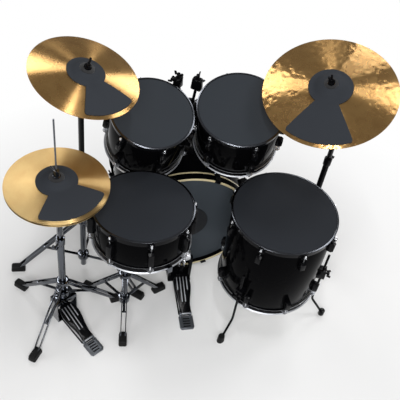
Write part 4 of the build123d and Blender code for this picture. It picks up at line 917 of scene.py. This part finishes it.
class KIT_OT_shells(bpy.types.Operator):
    """Finish the shells, heads and hoops"""

    bl_idname = "kit.shells"
    bl_label = "Shells and hoops"

    def execute(self, context):
        for name in [drum.name for drum in DRUMS] + ["bass"]:
            for part, finish_name in (("shell", "lacquer"), ("heads", "film")):
                key = f"{name}_{part}"
                stand_in(rounded(painted(copied(key), finish_name), sizes().edge), key, "smooth")
        for drum in DRUMS:
            key = f"{drum.name}_hoops"
            hoops = painted(copied(key), "nickel", (self.rolled(drum),))
            stand_in(rounded(hoops, sizes().edge, FINE_ROUND), key, "smooth")
        return {"FINISHED"}

    def rolled(self, drum):
        """Rule for painted highlights: a mild one on an upper hoop's rim, and a bright one on the upper side of
        a lower hoop's rolled edge and ears.
        """

        def rule(piece):
            back = rim_frame(drum).inverted()
            for face in piece.data.polygons:
                deep = -(back @ face.center).z
                lean = back.to_3x3() @ face.normal
                # Painted highlight on the upward faces of a lower hoop, and a milder painted highlight on an
                # upper hoop's rim
                if deep > drum.depth * LOWER_HOOP and lean.z > MOSTLY:
                    yield face, "hoop_edge"
                elif deep < RIM_DEEP:
                    yield face, "hoop_rim"

        return rule


class KIT_OT_bass_hoops(bpy.types.Operator):
    """Bass hoops with an inlaid face and an inlaid stripe along the other edge"""

    bl_idname = "kit.bass_hoops"
    bl_label = "Bass hoops"

    def execute(self, context):
        piece = activate(copied("bass_hoops"))
        low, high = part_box("bass_hoops")
        inset = BASS_HOOP_WIDE - BASS_STRIPE
        cuts = (low[1] + inset, high[1] - inset)
        ends = (low[1] + AT_END, high[1] - AT_END)
        for cut in cuts:
            edit_all()
            bpy.ops.mesh.bisect(plane_co=(0.0, cut, 0.0), plane_no=(0.0, 1.0, 0.0))
            mode("OBJECT")

        def inlay(ring):
            for face in ring.data.polygons:
                spot = face.center
                outward = Vector((spot.x, 0.0, spot.z - BASS_END[2])).normalized()
                end = abs(face.normal.y) > SQUARE and not ends[0] <= spot.y <= ends[1]
                striped = face.normal.dot(outward) > HALF and within(spot.y, cuts)
                if end or striped:
                    yield face, "inlay"

        stand_in(rounded(painted(piece, "lacquer", (inlay,)), sizes().edge), "bass_hoops", "inlaid")
        return {"FINISHED"}


class KIT_OT_drum_pads(bpy.types.Operator):
    """Mute pads that lie on the drum heads"""

    bl_idname = "kit.drum_pads"
    bl_label = "Drum pads"

    def execute(self, context):
        edge = sizes().pad_edge
        for drum in DRUMS:
            out = drum.radius + PAD_REACH
            profile = [(0.0, PAD_LOW), (out - edge, PAD_LOW)]
            profile += [(out - edge + edge * sin(a), PAD_LOW + edge - edge * cos(a)) for a in QUARTER[1:]]
            profile += self.upper_edge(out, PAD_HIGH)
            profile += [(out / 2, PAD_HIGH + PAD_CROWN[0]), (0.0, PAD_HIGH + PAD_CROWN[1])]
            pad = put(lathe(profile, PAD_STEPS), rim_frame(drum))
            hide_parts(f"{drum.name}_mute_pad")
            finish(pad, f"{drum.name}_foam_pad", drum.body, MATERIALS[drum.pad], slot="pad_rubber")
        self.bass_pad()
        return {"FINISHED"}

    def upper_edge(self, out, high):
        """Quarter round from the side of a pad to its top."""
        edge = sizes().pad_edge
        return [(out - edge + edge * cos(a), high - edge + edge * sin(a)) for a in QUARTER]

    def bass_pad(self):
        """Pad on the batter end of the bass drum, with a raised patch in its middle."""
        edge = sizes().pad_edge
        out, low, face = BASS_PAD_R, BASS_PAD_LOW, BASS_PAD_FACE
        top = face + BASS_PATCH_RISE
        profile = [(0.0, low), (out - edge, low), (out, low + edge)] + self.upper_edge(out, face)
        profile += [(BASS_PATCH_R + BASS_PATCH_EDGE, face)]
        profile += [(BASS_PATCH_R, face + BASS_PATCH_RISE * share) for share in BASS_PATCH_SIDE]
        profile += [(BASS_PATCH_R - BASS_PATCH_EDGE, top), (0.0, top)]
        pad = lathe(profile, PAD_STEPS)
        pad.data.materials.append(MATERIALS["bass_pad"])
        pad.data.materials.append(MATERIALS["bass_patch"])
        for part in pad.data.polygons:
            part.material_index = int(part.center.xy.length < BASS_PATCH_R and part.center.z > face)
        put(pad, Matrix.Translation(BASS_END) @ Matrix.Rotation(pi / 2, 4, "X"))
        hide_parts("bass_mute_pad")
        finish(pad, "bass_foam_pad", "kit", slot="pad_rubber")


def turn_of(point):
    """Turn of a point about Z in degrees, from 0 to 360."""
    return degrees(atan2(point[1], point[0])) % 360.0


def steps_between(first, last, count):
    """Evenly spaced values, the last one included."""
    return [first + (last - first) * step / count for step in range(count + 1)]


def face_height(cymbal, radius):
    """Height of a cymbal's lower face over its rim at a radius."""
    start, end, low, high = cymbal.radius, cymbal.bell_r, 0.0, cymbal.rise
    bulge = cymbal.rise * BOW_BULGE
    if radius < cymbal.bell_r:
        start, end, low = cymbal.bell_r, CYMBAL_BORE, cymbal.rise
        high, bulge = cymbal.rise + cymbal.bell_rise, cymbal.bell_rise * BELL_BULGE
    t = (radius - start) / (end - start)
    middle = (low + high) / 2 + bulge
    return low * (1 - t) * (1 - 2 * t) + middle * 4 * t * (1 - t) + high * t * (2 * t - 1)


def cymbal_profile(cymbal, lift, bow_steps=14, bell_steps=8):
    """Points on a face of a cymbal from its rim to its bore."""
    radii = steps_between(cymbal.radius, cymbal.bell_r, bow_steps)[:-1]
    radii += steps_between(cymbal.bell_r, CYMBAL_BORE, bell_steps)
    return [(radius, lift + face_height(cymbal, radius)) for radius in radii]


class KIT_OT_cymbals(bpy.types.Operator):
    """Turn the cymbals from their bow and bell profiles"""

    bl_idname = "kit.cymbals"
    bl_label = "Cymbals"

    def execute(self, context):
        for cymbal in CYMBALS:
            lower = cymbal_profile(cymbal, CYMBAL_SKIM)
            upper = cymbal_profile(cymbal, CYMBAL_THICK)
            disc = smooth(lathe(lower + upper[::-1] + lower[:1], CYMBAL_STEPS), CYMBAL_SMOOTH)
            self.wrap(disc.data, Vector((0.0, 0.0, 0.0)))
            put(disc, rim_frame(cymbal))
            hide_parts(cymbal.name)
            finish(disc, f"{cymbal.name}_turned", cymbal.body, MATERIALS[cymbal.name], slot="bronze")
        name = "hihat_bottom_cymbal"
        piece = copied(name)
        self.wrap(piece.data, Vector(HIHAT.rim))
        smooth(piece, CYMBAL_SMOOTH)
        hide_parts(name)
        finish(piece, f"{name}_turned", body_of(name), MATERIALS[HIHAT.name], slot="bronze")
        return {"FINISHED"}

    def wrap(self, mesh, centre):
        """Map the surface by turn and radius, so that the brushing runs round."""
        layer = mesh.uv_layers.new(name="turn")
        for loop in mesh.loops:
            point = mesh.vertices[loop.vertex_index].co - centre
            turn = point.xy.angle_signed(Vector((1.0, 0.0)), 0.0) / tau
            layer.data[loop.index].uv = (turn, point.xy.length)


class KIT_OT_cymbal_pads(bpy.types.Operator):
    """Mute pads that hug the bells and a wedge of each bow"""

    bl_idname = "kit.cymbal_pads"
    bl_label = "Cymbal pads"

    def execute(self, context):
        for cymbal in CYMBALS:
            key = f"{cymbal.name.split('_')[0]}_mute_pad"
            pad = joined([self.hub(cymbal), self.wedge(cymbal)], key)
            edit_all()
            bpy.ops.mesh.remove_doubles(threshold=MERGE)
            bpy.ops.mesh.normals_make_consistent(inside=False)
            mode("OBJECT")
            rounded(pad, SKIN_ROUND, FINE_ROUND, CYMBAL_SMOOTH)
            put(painted(pad, "cymbal_pad"), rim_frame(cymbal) @ self.start(cymbal))
            stand_in(pad, key, "foam")
        return {"FINISHED"}

    def start(self, cymbal):
        """Turn from the cymbal's own frame to the one its wedge is measured in."""
        return spun(-90.0 - cymbal.toward if cymbal.tilt else 0.0)

    def faces(self, cymbal, radius):
        """Heights of the pad's lower and upper face at a radius; the foam bridges the foot of the bell."""
        low = face_height(cymbal, radius) + SKIN_LIFT
        soft = sum(face_height(cymbal, radius + shift) for shift in SKIN_BRIDGE) / len(SKIN_BRIDGE)
        return low, max(low, soft + SKIN_LIFT) + SKIN_THICK

    def outline(self, cymbal, radii):
        """Closed run of points: out along the lower face and back along the upper one."""
        lower = [(radius, self.faces(cymbal, radius)[0]) for radius in radii]
        upper = [(radius, self.faces(cymbal, radius)[1]) for radius in radii]
        return lower + upper[::-1]

    def hub(self, cymbal):
        """Ring over the bell, left open where the wedge joins it; one step to each degree."""
        run = self.outline(cymbal, steps_between(SKIN_HOLE, cymbal.hub, HUB_STEPS))
        ring = lathe(run + run[:1], 360)
        first, last = cymbal.wedge
        for face in ring.data.polygons:
            turn = (turn_of(face.center) - first) % 360.0
            side = face.center.xy.length > cymbal.hub - AT_HUB and abs(face.normal.z) < HALF
            face.select = side and turn < last - first
        self.drop(ring)
        return ring

    def wedge(self, cymbal):
        """Sector from the hub out to near the rim, with its two outer corners rounded."""
        first, last = cymbal.wedge
        span = last - first
        outer = cymbal.radius - SKIN_BARE
        radii = steps_between(cymbal.hub, outer, WEDGE_STEPS)
        sector = lathe(self.outline(cymbal, radii), span, radians(-span))
        corner = sizes().pad_corner
        for vertex in sector.data.vertices:
            turn = turn_of(vertex.co)
            turn = min(max(turn if turn < 180.0 else 0.0, 0.0), span)
            along = min(corner, radians(min(turn, span - turn)) * outer)
            edge = outer - corner + (corner**2 - (corner - along) ** 2) ** 0.5
            share = (vertex.co.xy.length - cymbal.hub) / (outer - cymbal.hub)
            radius = cymbal.hub + share * (edge - cymbal.hub)
            low, high = self.faces(cymbal, vertex.co.xy.length)
            top = vertex.co.z > (low + high) / 2
            vertex.co.xy = vertex.co.xy.normalized() * radius
            vertex.co.z = self.faces(cymbal, radius)[int(top)]
        put(sector, spun(first))
        self.cap(sector, (first, last))
        return sector

    def drop(self, piece):
        """Delete the selected faces."""
        activate(piece)
        for part in list(piece.data.vertices) + list(piece.data.edges):
            part.select = False
        mode("EDIT")
        bpy.ops.mesh.select_mode(type="FACE")
        bpy.ops.mesh.delete(type="FACE")
        bpy.ops.mesh.select_mode(type="VERT")
        mode("OBJECT")

    def cap(self, piece, turns):
        """Close the two cut ends of a sector."""
        for turn in turns:
            activate(piece)
            way = Vector((cos(radians(turn)), sin(radians(turn))))
            for part in list(piece.data.polygons) + list(piece.data.edges):
                part.select = False
            for vertex in piece.data.vertices:
                vertex.select = vertex.co.xy.normalized().dot(way) > ALIGNED
            mode("EDIT")
            bpy.ops.mesh.select_mode(type="VERT")
            bpy.ops.mesh.edge_face_add()
            mode("OBJECT")


class KIT_OT_fittings(bpy.types.Operator):
    """Clamp heads with wing bolts, wing bolts on the leg brackets, and cymbal washers"""

    bl_idname = "kit.fittings"
    bl_label = "Fittings"

    def execute(self, context):
        for arm, foot, turn, wide, tall in CLAMP_HEADS:
            way = Vector((cos(radians(turn)), sin(radians(turn)), 0.0))
            top = Vector(foot) + Vector((0.0, 0.0, tall - BOLT_SUNK))
            side = Vector(foot) + way * CLAMP_BOLT_OUT + Vector((0.0, 0.0, tall / 2))
            head = block(CLAMP_DEEP, wide, tall, CLAMP_ROUND, PLUMP_ROUND, CLAMP_TAPER)
            put(head, Matrix.Translation(foot) @ spun(turn))
            upright = put(self.wing_bolt(), Matrix.Translation(top) @ spun(turn))
            level = put(self.wing_bolt(), facing(side, way))
            clamp = joined([head, upright, level], f"{arm}_clamp")
            finish(clamp, f"{arm}_clamp", arm, MATERIALS["enamel"], slot="black_metal")
        bolts = []
        x, y, _ = FLOOR_TOM.rim
        for bracket in LEG_BRACKETS:
            way = (Vector((*bracket, 0.0)) - Vector((x, y, 0.0))).normalized()
            bolts.append(put(self.wing_bolt(), facing(Vector((x, y, LEG_BOLT_TALL)) + way * LEG_BOLT_OUT, way)))
        bolts = joined(bolts, "leg_wing_bolts")
        finish(bolts, "leg_wing_bolts", "kit", MATERIALS["enamel"], slot="black_metal")
        for cymbal in CYMBALS:
            washer = put(self.washer(cymbal), rim_frame(cymbal))
            finish(washer, f"{cymbal.name}_washer", cymbal.body, MATERIALS["dark_felt"])
        return {"FINISHED"}

    def wing_bolt(self):
        """Wing bolt along Z: stem, boss and two wings."""
        pieces = [lathe(BOLT_STEM, BOLT_STEPS)]
        for side in (1, -1):
            foot = Matrix.Translation((side * WING_OUT, 0.0, WING_UP))
            lean = Matrix.Rotation(side * radians(WING_LEAN), 4, "Y")
            pieces.append(put(block(*WING_SIZE, WING_ROUND, FINE_ROUND, WING_TAPER), foot @ lean))
        return joined(pieces, "wing_bolt")

    def washer(self, cymbal):
        """Felt disc that lies on the bell round the stem."""
        lower = [(radius, face_height(cymbal, radius) + WASHER_LIFT) for radius in WASHER_RADII]
        upper = [(radius, height + WASHER_THICK) for radius, height in lower[::-1]]
        disc = lathe(lower + upper + lower[:1], WASHER_STEPS)
        return rounded(disc, WASHER_ROUND, FINE_ROUND, CYMBAL_SMOOTH)


class KIT_OT_stage(bpy.types.Operator):
    """Floor, lights and camera"""

    bl_idname = "kit.stage"
    bl_label = "Stage"

    def execute(self, context):
        stage = context.scene.kit_stage
        deselect()
        bpy.ops.mesh.primitive_plane_add(size=FLOOR_SIZE, location=(0.0, 0.0, -FLOOR_SUNK))
        floor = context.active_object
        floor.name = "studio_floor"
        floor.data.materials.append(self.sweep(stage.white))
        floor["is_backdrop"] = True
        for name, place, size, setting in LIGHTS:
            self.area(name, place, size, getattr(stage, setting))
        self.surround(context, stage.sky)
        self.camera(context, stage)
        context.scene.view_settings.view_transform = "Standard"
        return {"FINISHED"}

    def surround(self, context, sky):
        """Even light from all round, which the camera sees as plain white."""
        world = context.scene.world or bpy.data.worlds.new("World")
        context.scene.world = world
        world.use_nodes = True
        tree = world.node_tree
        tree.nodes.clear()
        seen = node(tree, "ShaderNodeLightPath").outputs["Is Camera Ray"]
        light = node(tree, "ShaderNodeBackground", color=WHITE, strength=sky)
        white = node(tree, "ShaderNodeBackground", color=WHITE, strength=1.0)
        mix = node(tree, "ShaderNodeMixShader", {0: seen, 1: light.outputs[0], 2: white.outputs[0]})
        node(tree, "ShaderNodeOutputWorld", {"Surface": mix.outputs[0]})

    def sweep(self, share):
        matt = {"base_color": colours().floor, "roughness": 0.95, "specular_ior_level": 0.1}
        material, tree, surface = blank("Paper sweep matt", **matt)
        path = node(tree, "ShaderNodeLightPath").outputs
        seen = path["Is Camera Ray"]
        for kind in ("Is Glossy Ray", "Is Transmission Ray"):
            seen = node(tree, "ShaderNodeMath", {0: seen, 1: path[kind]}, operation="MAXIMUM").outputs[0]
        where = node(tree, "ShaderNodeTexCoord").outputs["Object"]
        away = node(tree, "ShaderNodeVectorMath", {0: where}, operation="DISTANCE")
        away.inputs[1].default_value = FADE_MIDDLE
        distance = {"Value": away.outputs["Value"]}
        fade = node(tree, "ShaderNodeMapRange", distance, from_min=FADE_FROM, from_max=FADE_TO, to_min=share)
        amount = node(tree, "ShaderNodeMath", {0: seen, 1: fade.outputs["Result"]}, operation="MULTIPLY")
        white = node(tree, "ShaderNodeEmission", color=WHITE, strength=1.0)
        sources = {0: amount.outputs[0], 1: surface.outputs[0], 2: white.outputs[0]}
        mix = node(tree, "ShaderNodeMixShader", sources)
        tree.links.new(mix.outputs[0], tree.nodes["Material Output"].inputs["Surface"])
        return material

    def area(self, name, place, size, power):
        lamp = bpy.data.lights.new(name, "AREA")
        lamp.shape = "RECTANGLE"
        lamp.size, lamp.size_y = size
        lamp.energy = power
        lit = bpy.data.objects.new(name, lamp)
        bpy.context.scene.collection.objects.link(lit)
        lit.location = place
        lit.rotation_euler = (Vector(LIT_POINT) - Vector(place)).to_track_quat("-Z", "Y").to_euler()

    def camera(self, context, stage):
        lens = bpy.data.cameras.new("camera")
        lens.lens = stage.lens
        lens.sensor_width = SENSOR
        lens.clip_end = CLIP_END
        eye = bpy.data.objects.new("camera", lens)
        context.scene.collection.objects.link(eye)
        turn = Matrix.Rotation(-stage.heading, 4, "Z")
        fall = Matrix.Rotation(pi / 2 - stage.pitch, 4, "X")
        roll = Matrix.Rotation(stage.roll, 4, "Z")
        eye.matrix_world = Matrix.Translation(stage.eye) @ turn @ fall @ roll
        context.scene.camera = eye


class KIT_PT_panel(bpy.types.Panel):
    """Steps that dress the drum kit"""

    bl_idname = "KIT_PT_panel"
    bl_label = "Drum kit"
    bl_space_type = "VIEW_3D"
    bl_region_type = "UI"
    bl_category = "Drum kit"

    def draw(self, context):
        for step in STEPS:
            self.layout.operator(step.bl_idname)


GROUPS = (("kit_colours", KitColours), ("kit_sizes", KitSizes), ("kit_stage", KitStage))
STEPS = (
    KIT_OT_finishes,
    KIT_OT_hardware,
    KIT_OT_shells,
    KIT_OT_bass_hoops,
    KIT_OT_drum_pads,
    KIT_OT_cymbals,
    KIT_OT_cymbal_pads,
    KIT_OT_fittings,
    KIT_OT_stage,
)


def register():
    for name, group in GROUPS:
        bpy.utils.register_class(group)
        setattr(bpy.types.Scene, name, PointerProperty(type=group))
    for step in STEPS + (KIT_PT_panel,):
        bpy.utils.register_class(step)


def unregister():
    for step in (KIT_PT_panel,) + STEPS[::-1]:
        bpy.utils.unregister_class(step)
    for name, group in GROUPS:
        delattr(bpy.types.Scene, name)
        bpy.utils.unregister_class(group)


def corners(box):
    return [list(corner) for corner in box]


def main():
    cad = corners(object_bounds())
    register()
    for step in STEPS:
        group, name = step.bl_idname.split(".")
        getattr(getattr(bpy.ops, group), name)()
    {"cad": cad, "visual": corners(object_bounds())}


if __name__ == "__main__":
    main()
